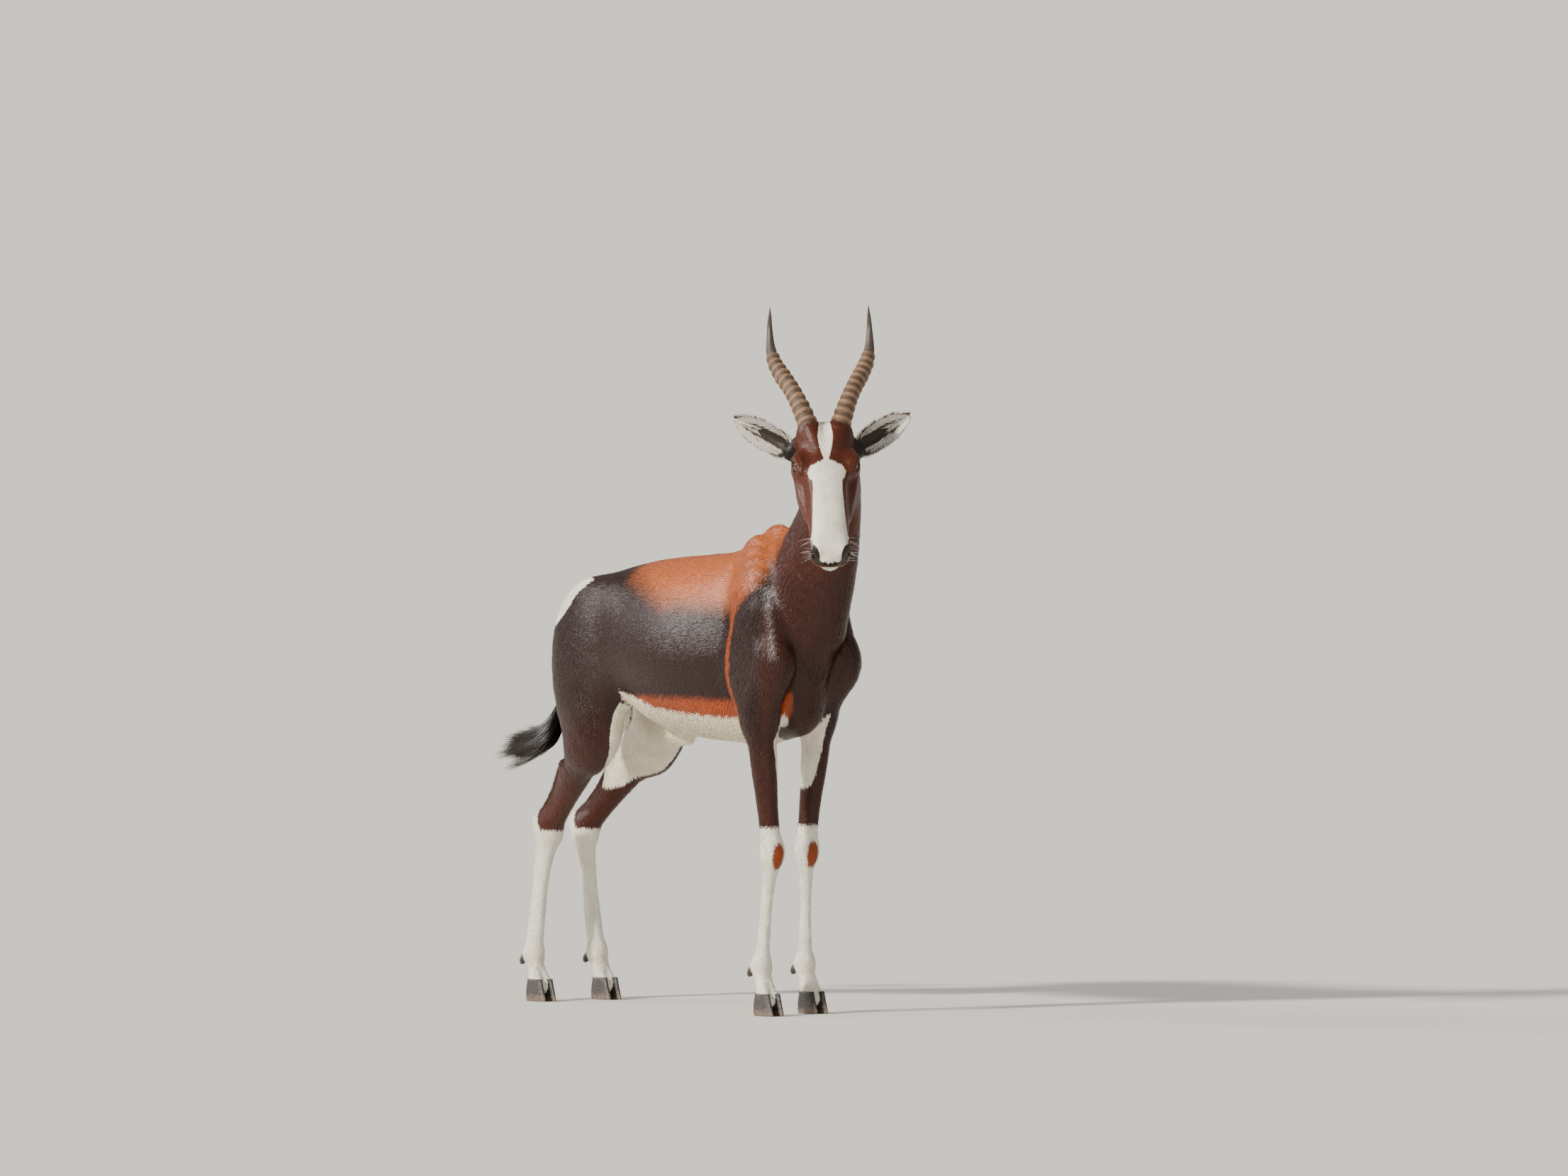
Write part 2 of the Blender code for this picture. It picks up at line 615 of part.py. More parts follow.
def regions():
    """The parts of the flesh. The head is cut from the neck under the jaw, and the neck from the
    trunk along the front of the shoulders."""
    head = Region("head", at_head(0.170, 0, 0.002), (0.46, 0.36, 0.32), 0.0042, 3000, HEAD_AXES)
    neck_axes = tilted(radians(27))
    neck = Region("neck", (0.10, 0, 0.795) + neck_axes[0] * 0.20, (0.40, 0.32, 0.50), 0.010, 1100, neck_axes)
    found = [head, neck]
    for side, s in SIDES.items():
        tops = {}
        for name, joint, size in (("fore", FORE[side]["knee"], 470), ("hind", HIND[side]["hock"], 500)):
            tops[name] = joint[2] + 0.025
            height = tops[name] - CORONET
            found.append(Region(f"{name}leg_lower_{side}", (joint[0], s * 0.111, CORONET + height / 2),
                                (0.24, 0.20, height), 0.0056, size))
        elbow = FORE[side]["elbow"]
        found.append(Region(f"foreleg_upper_{side}", (elbow[0] + 0.030, s * 0.123, (tops["fore"] + 0.548) / 2),
                            (0.17, 0.186, 0.548 - tops["fore"]), 0.009, 420))
        found.append(Region(f"hindleg_upper_{side}", (-0.60, s * 0.118, (tops["hind"] + 0.600) / 2),
                            (0.43, 0.176, 0.600 - tops["hind"]), 0.011, 640))
    found.append(Region("tail_dock", (-0.786, 0, 0.645), (0.16, 0.06, 0.22), 0.0050, 240))
    return found


def cut_away(obj, region):
    box = cutter_box("cutter", region.centre, region.size + GAP, region.axes)
    boolean(obj, box, "DIFFERENCE")
    bpy.data.objects.remove(box)


def flesh_part(region):
    """The flesh inside the region's box, less half the gap."""
    margin = 2 * region.cell
    low, high = region.reach()

    def distance(p):
        return np.maximum(flesh(p), region.distance(p) - margin)

    points, quads = surface_nets(distance, low - 2 * margin, high + 2 * margin, region.cell)
    obj = add_object(region.name, points, quads)
    coarsened(obj, region.triangles)
    box = cutter_box("cutter", region.centre, region.size - GAP, region.axes)
    boolean(obj, box, "INTERSECT")
    bpy.data.objects.remove(box)
    keep_largest(obj)
    return obj


def torso_part(parts):
    """What the other regions leave of the flesh."""
    cell = 0.014
    margin = cell

    def distance(p):
        d = np.maximum(flesh(p), 0.456 - p[:, 2])
        for region in parts:
            d = np.maximum(d, -region.distance(p) - margin)
        return d

    points, quads = surface_nets(distance, (-0.80, -0.20, 0.44), (0.24, 0.20, 0.96), cell)
    obj = add_object("torso", points, quads)
    coarsened(obj, 2600)
    for region in parts:
        cut_away(obj, region)
    keep_largest(obj)
    return obj


# Pieces that are not flesh


def rings_to_mesh(name, rings):
    """A closed skin over rings of as many points each, with flat ends."""
    count = len(rings[0])
    points = [p for ring in rings for p in ring]
    faces = []
    for r in range(len(rings) - 1):
        for i in range(count):
            j = (i + 1) % count
            faces.append((r * count + i, r * count + j, (r + 1) * count + j, (r + 1) * count + i))
    faces.append(tuple(range(count))[::-1])
    faces.append(tuple((len(rings) - 1) * count + i for i in range(count)))
    obj = add_object(name, points, faces)
    bm = bmesh.new()
    bm.from_mesh(obj.data)
    bmesh.ops.recalc_face_normals(bm, faces=bm.faces)
    bmesh.ops.triangulate(bm, faces=bm.faces)
    bm.to_mesh(obj.data)
    bm.free()
    return obj


def horn_place(s, lateral, up, back):
    """A point on a horn's middle line, from the middle of its base."""
    base = at_head(*np.multiply(HORN_SEAT, (1, s, 1)))
    return base + ACROSS * s * lateral + CROWN * up - AHEAD * back


HORN_LINE = [
    (0.000, 0.000, 0.000), (0.0145, 0.040, 0.020), (0.0325, 0.079, 0.053), (0.0485, 0.104, 0.082),
    (0.0610, 0.129, 0.106), (0.0657, 0.152, 0.121), (0.0668, 0.184, 0.131), (0.0656, 0.229, 0.131),
]
HORN_HALF_WIDTH = 0.0195
HORN_HALF_DEPTH = 0.0235
HORN_RINGS = 12
RINGED_SHARE = 0.70  # of the horn's length, from its base
HORN_SIDES = 12


def horn_path(s, share):
    """The middle line's point and direction at a share of its length."""
    line = np.array([horn_place(s, *row) for row in HORN_LINE])
    at = np.concatenate([[0], np.cumsum(np.linalg.norm(np.diff(line, axis=0), axis=1))])

    def point(t):
        return np.array([smooth_curve(at, line[:, i], np.array([t * at[-1]]))[0] for i in range(3)])

    step = 0.01
    ahead, behind = min(share + step, 1), max(share - step, 0)
    return point(share), unit(point(ahead) - point(behind))


def horn_girth(share):
    """The horn's thickness at a share of its length, as a share of the base's."""
    stations = [0, 0.11, 0.23, 0.36, 0.52, 0.60, 0.66, RINGED_SHARE, 0.75, 0.84, 0.935, 1.0]
    girths = [1.0, 0.92, 0.82, 0.77, 0.74, 0.69, 0.61, 0.52, 0.42, 0.29, 0.17, 0.03]
    return smooth_curve(stations, girths, np.array([share]))[0]


def horn(side):
    s = SIDES[side]
    shares = []
    for ring in range(HORN_RINGS):
        first = RINGED_SHARE * (ring + 0.12) / HORN_RINGS
        shares += [(first, 0.0), (first + RINGED_SHARE * 0.62 / HORN_RINGS, 1.0)]
    shares = [(0, 0.0)] + shares + [(t, 0.0) for t in (0.715, 0.78, 0.86, 0.93, 0.975, 1.0)]
    rings = []
    for share, raised in shares:
        centre, along = horn_path(s, share)
        wide = unit(ACROSS - along * (ACROSS @ along))
        front = np.cross(wide, along)
        girth = horn_girth(share)
        ring = []
        for i in range(HORN_SIDES):
            angle = 2 * pi * i / HORN_SIDES
            facing = 0.55 + 0.45 * max(0, sin(angle) * np.sign(front @ AHEAD))
            ridge = 1 + raised * facing * 0.0026 / (HORN_HALF_WIDTH * girth)
            ring.append(centre + wide * cos(angle) * HORN_HALF_WIDTH * girth * ridge
                        + front * sin(angle) * HORN_HALF_DEPTH * girth * ridge)
        rings.append(ring)
    return rings_to_mesh(f"horn_{side}", rings)


EAR_LENGTH = 0.126
EAR_THICKNESS = 0.0028


def ear_axes(s):
    """Along the ear, across it, and out of its back."""
    along = unit(ACROSS * s * 0.80 + CROWN * 0.48 - AHEAD * 0.30)
    back = -unit(AHEAD * 0.90 + ACROSS * s * 0.32 - CROWN * 0.05)
    back = unit(back - along * (back @ along))
    return along, np.cross(along, back), back


def ear(side):
    s = SIDES[side]
    along, wide, back = ear_axes(s)
    root = at_head(*np.multiply(EAR_ROOT, (1, s, 1))) + along * GAP
    shares = np.array([0, 0.07, 0.16, 0.28, 0.42, 0.56, 0.70, 0.82, 0.91, 0.965, 1.0])
    stations = [0, 0.16, 0.42, 0.60, 0.80, 0.92, 1.0]
    widest = smooth_curve(stations, [0.0150, 0.0215, 0.0265, 0.0258, 0.0190, 0.0110, 0.0022], shares)
    bend = np.radians(smooth_curve([0, 0.10, 0.30, 0.60, 1.0], [152, 125, 88, 62, 40], shares))
    strips = 8
    outer, inner = [], []
    for share, half, reach in zip(shares, widest, bend):
        radius = half / (1 if reach > pi / 2 else sin(reach))
        rim = root + along * EAR_LENGTH * share + back * radius * cos(reach) * (1 - share) ** 2
        thick = EAR_THICKNESS * (1 - 0.45 * share)
        for rows, r in ((outer, radius), (inner, max(radius - thick, radius * 0.25))):
            row = []
            for i in range(strips + 1):
                angle = reach * (2 * i / strips - 1)
                row.append(rim + wide * r * sin(angle) + back * (r * cos(angle) - radius * cos(reach)))
            rows.append(row)
    rings = [o + i[::-1] for o, i in zip(outer, inner)]
    return ring_shell(f"ear_{side}", rings)


def ring_shell(name, rings):
    """Rings that are thin loops: the ends are closed by strips between their two sides."""
    count = len(rings[0])
    half = count // 2
    points = [p for ring in rings for p in ring]
    faces = []
    for r in range(len(rings) - 1):
        for i in range(count):
            j = (i + 1) % count
            faces.append((r * count + i, r * count + j, (r + 1) * count + j, (r + 1) * count + i))
    for start in (0, (len(rings) - 1) * count):
        for i in range(half - 1):
            faces.append((start + i, start + i + 1, start + count - 2 - i, start + count - 1 - i))
    obj = add_object(name, points, faces)
    bm = bmesh.new()
    bm.from_mesh(obj.data)
    bmesh.ops.recalc_face_normals(bm, faces=bm.faces)
    bmesh.ops.triangulate(bm, faces=bm.faces)
    bm.to_mesh(obj.data)
    bm.free()
    return obj


def ball(name, centre, radii, axes=np.eye(3), sides=14, rows=9):
    """An ellipsoid with its poles along the first axis."""
    bm = bmesh.new()
    bmesh.ops.create_uvsphere(bm, u_segments=sides, v_segments=rows, radius=1)
    for vert in bm.verts:
        x, y, z = vert.co
        vert.co = Vector(np.asarray(centre) + np.array([z * radii[0], x * radii[1], y * radii[2]]) @ axes)
    bmesh.ops.triangulate(bm, faces=bm.faces)
    bmesh.ops.recalc_face_normals(bm, faces=bm.faces)
    mesh = bpy.data.meshes.new(name)
    bm.to_mesh(mesh)
    bm.free()
    obj = bpy.data.objects.new(name, mesh)
    bpy.context.collection.objects.link(obj)
    return obj


def eye_ball(side, radius=EYE_RADIUS, name=None):
    s = SIDES[side]
    out = eye_out(s)
    slit = unit(FACE - out * (FACE @ out))
    axes = np.array([out, slit, np.cross(out, slit)])
    return ball(name or f"eye_{side}", at_head(*np.multiply(EYE_PLACE, (1, s, 1))), (radius,) * 3, axes)


def claw_outline(long, wide, forward, s):
    """One claw seen from above: pointed in front, round behind, flatter on its inner side."""
    points = []
    for i in range(14):
        angle = 2 * pi * i / 14
        x = forward + long / 2 * cos(angle)
        y = wide / 2 * sin(angle) * (1 - 0.30 * cos(angle))
        if y * s < 0:
            y *= 0.84
        points.append((x, y))
    return points


def claw(name, toe, side_of_foot):
    """One hoof claw: its sole flat on the ground, its wall leaning back from the toe."""
    centre = np.array([toe[0], toe[1] + side_of_foot * 0.0112, 0])
    levels = [(0, 0.062, 0.0205, 0.0080), (0.006, 0.0615, 0.0212, 0.0070), (0.020, 0.054, 0.0212, 0.0045),
              (CORONET - GAP, 0.0435, 0.0200, 0.0035)]
    rings = [
        [centre + (x, y, z) for x, y in claw_outline(long, wide, forward, side_of_foot)]
        for z, long, wide, forward in levels
    ]
    return rings_to_mesh(name, rings)


def dewclaw(name, fetlock, side_of_foot, grown=0.0):
    aim = unit((-0.55, side_of_foot * 0.12, -0.80))
    side = unit(LEFT - aim * (LEFT @ aim))
    axes = np.array([aim, side, np.cross(aim, side)])
    centre = np.asarray(fetlock) + (-0.0180, side_of_foot * 0.0110, -0.010)
    return ball(name, centre, (0.0125 + grown, 0.0062 + grown, 0.0075 + grown), axes, 10, 6)


LOCKS = 18


def lock(name, root, tip, sag, half_width, half_thick, turn):
    """A flat tapering lock of hair from root to tip, bowed by sag."""
    root, tip, sag = (np.asarray(v, float) for v in (root, tip, sag))
    rings = []
    for share, girth in ((0, 0.80), (0.25, 1.0), (0.55, 0.78), (0.80, 0.45), (1.0, 0.07)):
        centre = between(root, tip, share) + sag * 4 * share * (1 - share)
        along = unit((tip - root) + sag * 4 * (1 - 2 * share))
        wide = unit(np.cross(along, LEFT * cos(turn) + X_AXIS * sin(turn)))
        thick = np.cross(along, wide)
        rings.append([centre + wide * half_width * girth * a + thick * half_thick * girth * b
                      for a, b in ((1, 0), (0, 1), (-1, 0), (0, -1))])
    return rings_to_mesh(name, rings)


def tail_tuft(dock_floor):
    """Long dark hair that the wind carries back: locks sunk in a short core, fused as one."""
    rng = np.random.default_rng(11)
    end = np.array(TAIL_BONES[-1])
    tip = np.array(TAIL_TIP)
    core = [
        end + (0, 0, 0.020),
        end + (-0.004, -0.001, -0.010),
        between(end, tip, 0.22) + (0, 0, -0.016),
        between(end, tip, 0.45) + (0, 0, -0.018),
    ]
    core_form = tube(core, [0.0075, 0.0130, 0.0140, 0.0050], [0.0085, 0.0190, 0.0200, 0.0060])
    low, high = end - (0.14, 0.06, 0.11), end + (0.05, 0.05, 0.05)
    points, quads = surface_nets(core_form.distance, low, high, 0.006)
    tuft = add_object("tail_tuft", points, quads)
    coarsened(tuft, 170)
    gathered = bpy.data.collections.new("locks")
    bpy.context.scene.collection.children.link(gathered)
    for i in range(LOCKS):
        high = (i + 0.5) / LOCKS * 2 - 1
        start = between(core[1], core[3], rng.uniform(0.02, 0.55))
        start = start + (0, rng.uniform(-0.006, 0.006), high * 0.009)
        reach = rng.uniform(0.62, 1.02) - 0.22 * abs(high)
        goal = between(end, tip, reach) + (0, rng.uniform(-0.030, 0.030), high * 0.040 - 0.016 * reach)
        sag = (0, rng.uniform(-0.006, 0.006), -0.012 + high * 0.008)
        half_width, half_thick = rng.uniform(0.0052, 0.0075), rng.uniform(0.0022, 0.0030)
        piece = lock(f"lock_{i}", start, goal, sag, half_width, half_thick, rng.uniform(-0.5, 0.5))
        bpy.context.collection.objects.unlink(piece)
        gathered.objects.link(piece)
    join = tuft.modifiers.new("locks", "BOOLEAN")
    join.operation = "UNION"
    join.solver = "MANIFOLD"
    join.operand_type = "COLLECTION"
    join.collection = gathered
    apply_modifiers(tuft)
    for piece in list(gathered.objects):
        bpy.data.objects.remove(piece)
    bpy.data.collections.remove(gathered)
    lid = cutter_box("cutter", (end[0], end[1], dock_floor - GAP / 2 + 0.1), (0.3, 0.3, 0.2))
    boolean(tuft, lid, "DIFFERENCE")
    bpy.data.objects.remove(lid)
    keep_largest(tuft)
    return tuft


def seat(obj, centre, along, radius, length=0.06):
    """Cuts the flesh flat at centre, for a horn or an ear that stands there."""
    wide = unit(np.cross(along, X_AXIS))
    high = np.cross(along, wide)
    angles = [2 * pi * i / 24 for i in range(24)]
    circle = [centre + (wide * cos(a) + high * sin(a)) * radius for a in angles]
    rings = [circle, [point + along * length for point in circle]]
    hollow_out(obj, rings_to_mesh("cutter", rings))


def hollow_out(obj, cutter):
    """Takes the cutter's shape out of the object."""
    cutter.hide_render = True
    cutter.display_type = "WIRE"
    boolean(obj, cutter, "DIFFERENCE")
    bpy.data.objects.remove(cutter)


COLOURS = {
    # part name's first word: colour, roughness
    "torso": ((0.115, 0.040, 0.022), 0.45),
    "neck": ((0.075, 0.020, 0.012), 0.45),
    "head": ((0.170, 0.045, 0.022), 0.50),
    "foreleg": ((0.090, 0.026, 0.016), 0.50),
    "hindleg": ((0.090, 0.026, 0.016), 0.50),
    "shin": ((0.780, 0.720, 0.640), 0.60),
    "ear": ((0.620, 0.560, 0.500), 0.70),
    "eye": ((0.030, 0.012, 0.006), 0.05),
    "horn": ((0.260, 0.160, 0.085), 0.55),
    "tail": ((0.020, 0.012, 0.010), 0.50),
    "hoof": ((0.040, 0.032, 0.028), 0.40),
    "dewclaw": ((0.040, 0.032, 0.028), 0.40),
}


def paint(obj):
    kind = "shin" if "leg_lower" in obj.name else obj.name.split("_")[0]
    colour, rough = COLOURS[kind]
    material = bpy.data.materials.new(obj.name)
    material.use_nodes = True
    shader = material.node_tree.nodes["Principled BSDF"]
    shader.inputs["Base Color"].default_value = (*colour, 1)
    shader.inputs["Roughness"].default_value = rough
    shader.inputs["Metallic"].default_value = 0.0
    obj.data.materials.clear()
    obj.data.materials.append(material)
    obj.data.shade_smooth()
    obj.data.set_sharp_from_angle(angle=radians(50))


def clear_scene():
    for obj in list(bpy.data.objects):
        bpy.data.objects.remove(obj)


def build():
    clear_scene()
    parts = regions()
    made = {region.name: flesh_part(region) for region in parts}
    head_region = parts[0]
    cut_away(made["neck"], head_region)
    keep_largest(made["neck"])
    made["torso"] = torso_part(parts)
    for side, s in SIDES.items():
        base, along = horn_path(s, 0)
        made[f"horn_{side}"] = horn(side)
        seat(made["head"], base - along * GAP, along, 0.030)
        made[f"ear_{side}"] = ear(side)
        seat(made["head"], at_head(*np.multiply(EAR_ROOT, (1, s, 1))), ear_axes(s)[0], 0.034)
        hollow_out(made["head"], eye_ball(side, EYE_RADIUS + 2 * GAP, "cutter"))
        made[f"eye_{side}"] = eye_ball(side)
        for end, legs in (("fore", FORE), ("hind", HIND)):
            leg = legs[side]
            for inner, foot_side in (("outer", s), ("inner", -s)):
                made[f"hoof_{end}_{side}_{inner}"] = claw(f"hoof_{end}_{side}_{inner}", leg["toe"], foot_side)
                name = f"dewclaw_{end}_{side}_{inner}"
                pocket = dewclaw("cutter", leg["fetlock"], foot_side, GAP * 2)
                hollow_out(made[f"{end}leg_lower_{side}"], pocket)
                made[name] = dewclaw(name, leg["fetlock"], foot_side)
    for name in ("head", *[n for n in made if "leg_lower" in n]):
        keep_largest(made[name])
    dock = parts[-1]
    made["tail_tuft"] = tail_tuft(dock.centre[2] - dock.size[2] / 2)
    centre_on_floor(made.values())
    for obj in made.values():
        paint(obj)


def centre_on_floor(objects):
    """Brings the middle of the model's box over the origin, with the soles at nought."""
    points = np.array([vert.co for obj in objects for vert in obj.data.vertices])
    low, high = points.min(axis=0), points.max(axis=0)
    shift = Matrix.Translation((-(low[0] + high[0]) / 2, -(low[1] + high[1]) / 2, -low[2]))
    for obj in objects:
        obj.data.transform(shift)


build()
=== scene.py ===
"""Dresses a life-size bontebok ram: skin, coat, horns, eyes, ears, hooves and tail hair.

The flesh is the distance function that the solids come from. The skin is its surface, in by the
depth of the coat, and the coat is short tufts that lie along the body, rooted in the skin.
Lengths are in metres, measured from the ground under the withers: +X the way the body points,
+Y its left, +Z up. Meshes are moved into the frame's place as they are made.
"""

from math import cos, pi, radians, sin

import bmesh
import bpy
import numpy as np
from bpy.props import FloatProperty, FloatVectorProperty, IntProperty, PointerProperty
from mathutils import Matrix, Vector


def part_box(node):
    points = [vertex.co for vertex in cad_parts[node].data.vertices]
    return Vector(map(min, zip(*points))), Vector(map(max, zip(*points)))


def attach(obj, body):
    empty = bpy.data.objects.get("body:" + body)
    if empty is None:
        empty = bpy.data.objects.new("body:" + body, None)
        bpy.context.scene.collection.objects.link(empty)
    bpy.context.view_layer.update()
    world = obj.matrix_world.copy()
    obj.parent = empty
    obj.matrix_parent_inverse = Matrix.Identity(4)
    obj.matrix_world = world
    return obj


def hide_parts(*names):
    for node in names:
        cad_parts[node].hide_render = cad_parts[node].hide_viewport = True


bl_info = {
    "name": "Bontebok Ram",
    "version": (1, 0, 0),
    "blender": (4, 5, 0),
    "location": "View3D > Sidebar > Bontebok",
    "description": "Skin, coat, horns, eyes, ears, hooves and tail hair of a standing bontebok ram",
    "category": "Add Mesh",
}

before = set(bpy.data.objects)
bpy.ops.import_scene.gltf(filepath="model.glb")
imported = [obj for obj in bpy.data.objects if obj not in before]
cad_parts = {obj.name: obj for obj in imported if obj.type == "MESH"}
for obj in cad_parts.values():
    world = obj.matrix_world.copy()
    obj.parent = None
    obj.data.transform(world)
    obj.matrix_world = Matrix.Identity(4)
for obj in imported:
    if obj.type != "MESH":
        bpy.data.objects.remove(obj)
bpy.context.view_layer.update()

CORONET = 0.040  # height of the hoof's upper edge in front

# Flesh, by the same forms as the solids

X_AXIS = np.array([1.0, 0, 0])
LEFT = np.array([0, 1.0, 0])
UP = np.array([0, 0, 1.0])
SIDES = {"right": -1, "left": 1}

# The head looks to the animal's right, with its face sloping down
HEAD_TURN = radians(-29.5)
HEAD_SLOPE = radians(45)
HEAD_ROLL = radians(1.0)
HEAD_LENGTH = 0.314
POLL = np.array([0.2257, -0.0419, 1.1121])
AHEAD = np.array([cos(HEAD_TURN), sin(HEAD_TURN), 0])
LEVEL = np.array([-sin(HEAD_TURN), cos(HEAD_TURN), 0])
ACROSS = LEVEL * cos(HEAD_ROLL) + UP * sin(HEAD_ROLL)
CROWN = UP * cos(HEAD_ROLL) - LEVEL * sin(HEAD_ROLL)
FACE = AHEAD * cos(HEAD_SLOPE) - CROWN * sin(HEAD_SLOPE)
BROW = np.cross(FACE, ACROSS)
HEAD_AXES = np.array([FACE, ACROSS, BROW])

EYE_RADIUS = 0.0160
EYE_PLACE = (0.0980, 0.0440, -0.0265)
HORN_SEAT = (0.032, 0.0255, -0.006)
EAR_ROOT = (0.026, 0.060, -0.064)

FORE = {
    "right": {
        "shoulder": (0.110, -0.078, 0.652),
        "elbow": (0.060, -0.079, 0.540),
        "knee": (0.076, -0.062, 0.306),
        "fetlock": (0.046, -0.066, 0.092),
        "toe": (0.068, -0.067, 0.026),
    },
    "left": {
        "shoulder": (0.100, 0.074, 0.652),
        "elbow": (0.018, 0.073, 0.540),
        "knee": (0.014, 0.052, 0.306),
        "fetlock": (-0.004, 0.060, 0.092),
        "toe": (0.018, 0.061, 0.026),
    },
}
HIND = {
    "right": {
        "stifle": (-0.462, -0.094, 0.530),
        "hock": (-0.704, -0.062, 0.322),
        "fetlock": (-0.732, -0.080, 0.088),
        "toe": (-0.708, -0.082, 0.026),
    },
    "left": {
        "stifle": (-0.530, 0.088, 0.524),
        "hock": (-0.754, 0.048, 0.320),
        "fetlock": (-0.734, 0.060, 0.088),
        "toe": (-0.710, 0.062, 0.026),
    },
}
TAIL_BONES = [(-0.672, 0, 0.735), (-0.706, 0, 0.700), (-0.736, 0, 0.620), (-0.756, -0.004, 0.530)]
TAIL_TIP = (-0.915, -0.045, 0.452)


def unit(v):
    v = np.asarray(v, float)
    return v / np.linalg.norm(v)


def at_head(x, y, z):
    """A point given along the face, across the head and up from the brow line."""
    return POLL + np.array([x, y, z]) @ HEAD_AXES


def along_head(s, *places):
    """Points on the head's side s, each given as for at_head."""
    return [at_head(x, s * y, z) for x, y, z in places]


def eye_out(s):
    """The way an eye looks: sideways, a little forward and up."""
    return unit(FACE * 0.47 + ACROSS * s * 0.76 + BROW * 0.45)


def between(a, b, share):
    return np.asarray(a, float) * (1 - share) + np.asarray(b, float) * share


def smooth_curve(stations, values, x):
    """The values between stations, with the slope of their neighbours at each."""
    s = np.asarray(stations, float)
    v = np.asarray(values, float)
    x = np.clip(x, s[0], s[-1])
    i = np.clip(np.searchsorted(s, x) - 1, 0, len(s) - 2)
    slope = np.gradient(v, s)
    h = s[i + 1] - s[i]
    t = (x - s[i]) / h
    return (
        (2 * t**3 - 3 * t**2 + 1) * v[i]
        + (t**3 - 2 * t**2 + t) * h * slope[i]
        + (3 * t**2 - 2 * t**3) * v[i + 1]
        + (t**3 - t**2) * h * slope[i + 1]
    )


# Forms of flesh. Each has a distance function, a ball that holds it, and how softly it joins.

NEAR = 0.06  # a form is asked for points within this of its ball


class Form:
    """One piece of flesh, or one hollow."""

    def __init__(self, distance, centre, reach, blend):
        self.distance = distance
        self.centre = np.asarray(centre, float)
        self.reach = reach
        self.blend = blend


def bulge(centre, radii, aim=X_AXIS, side=UP, blend=0.03):
    """An ellipsoid: radii along aim, then across, then towards side."""
    x = unit(aim)
    z = unit(side - x * (x @ side))
    axes = np.array([x, np.cross(z, x), z])
    r = np.asarray(radii, float)
    c = np.asarray(centre, float)

    def distance(p):
        q = (p - c) @ axes.T
        k0 = np.linalg.norm(q / r, axis=1)
        k1 = np.linalg.norm(q / (r * r), axis=1)
        return k0 * (k0 - 1) / np.maximum(k1, 1e-9)

    return Form(distance, c, r.max(), blend)


def tube(points, across, deep, side=LEFT, blend=0.02):
    """An oval tube on a smooth path: half width across, along side, and half depth deep."""
    pts = np.asarray(points, float)
    lengths = np.linalg.norm(np.diff(pts, axis=0), axis=1)
    s = np.concatenate([[0], np.cumsum(lengths)])
    steps = 4 * (len(pts) - 1)
    t = np.linspace(0, s[-1], steps + 1)
    path = np.stack([smooth_curve(s, pts[:, i], t) for i in range(3)], axis=1)
    w = smooth_curve(s, across, t)
    h = smooth_curve(s, deep, t)
    side = unit(side)

    def distance(p):
        best = np.full(len(p), 1.0)
        for i in range(steps):
            run = path[i + 1] - path[i]
            u = np.clip((p - path[i]) @ run / (run @ run), 0, 1)
            off = p - path[i] - u[:, None] * run
            wide = w[i] + u * (w[i + 1] - w[i])
            high = h[i] + u * (h[i + 1] - h[i])
            lateral = off @ side
            away = np.linalg.norm(off, axis=1)
            rest = np.maximum(away**2 - lateral**2, 0)
            q = np.sqrt((lateral / wide) ** 2 + rest / high**2)
            d = np.where(q < 1e-6, -np.minimum(wide, high), away * (1 - 1 / np.maximum(q, 1e-6)))
            best = np.minimum(best, d)
        return best

    middle = (path.min(axis=0) + path.max(axis=0)) / 2
    reach = np.linalg.norm(path - middle, axis=1).max() + max(w.max(), h.max())
    return Form(distance, middle, reach, blend)


def lofted(rows, origin=np.zeros(3), axes=np.eye(3), blend=0.03):
    """A body along its own x. Each row is x, top, bottom, half width, the height of the widest
    place as a share, and how square the section is above and below it (2 is an ellipse)."""
    x_at, top, bottom, wide, waist, above, below = np.array(rows, float).T

    def distance(p):
        q = (p - origin) @ axes.T
        x = np.clip(q[:, 0], x_at[0], x_at[-1])
        z_top = smooth_curve(x_at, top, x)
        z_low = smooth_curve(x_at, bottom, x)
        z_mid = z_low + smooth_curve(x_at, waist, x) * (z_top - z_low)
        dz = q[:, 2] - z_mid
        power = np.where(dz > 0, smooth_curve(x_at, above, x), smooth_curve(x_at, below, x))
        high = np.where(dz > 0, z_top - z_mid, z_mid - z_low)
        across = np.abs(q[:, 1]) / smooth_curve(x_at, wide, x)
        f = (across**power + np.abs(dz / high) ** power) ** (1 / power)
        d = np.hypot(q[:, 1], dz) * (1 - 1 / np.maximum(f, 1e-6))
        past = q[:, 0] - x
        return np.where(past == 0, d, np.hypot(np.maximum(d, 0), past))

    low = np.array([x_at[0], -wide.max(), bottom.min()])
    high = np.array([x_at[-1], wide.max(), top.max()])
    middle = origin + (low + high) / 2 @ axes
    return Form(distance, middle, np.linalg.norm(high - low) / 2, blend)


def smooth_min(a, b, blend):
    share = np.maximum(blend - np.abs(a - b), 0) / blend
    return np.minimum(a, b) - share * share * blend / 4


def joined(forms, points):
    """The distance to the smooth union of the forms."""
    d = np.full(len(points), 1.0)
    for form in forms:
        near = np.linalg.norm(points - form.centre, axis=1) < form.reach + NEAR
        if near.any():
            d[near] = smooth_min(d[near], form.distance(points[near]), form.blend)
    return d


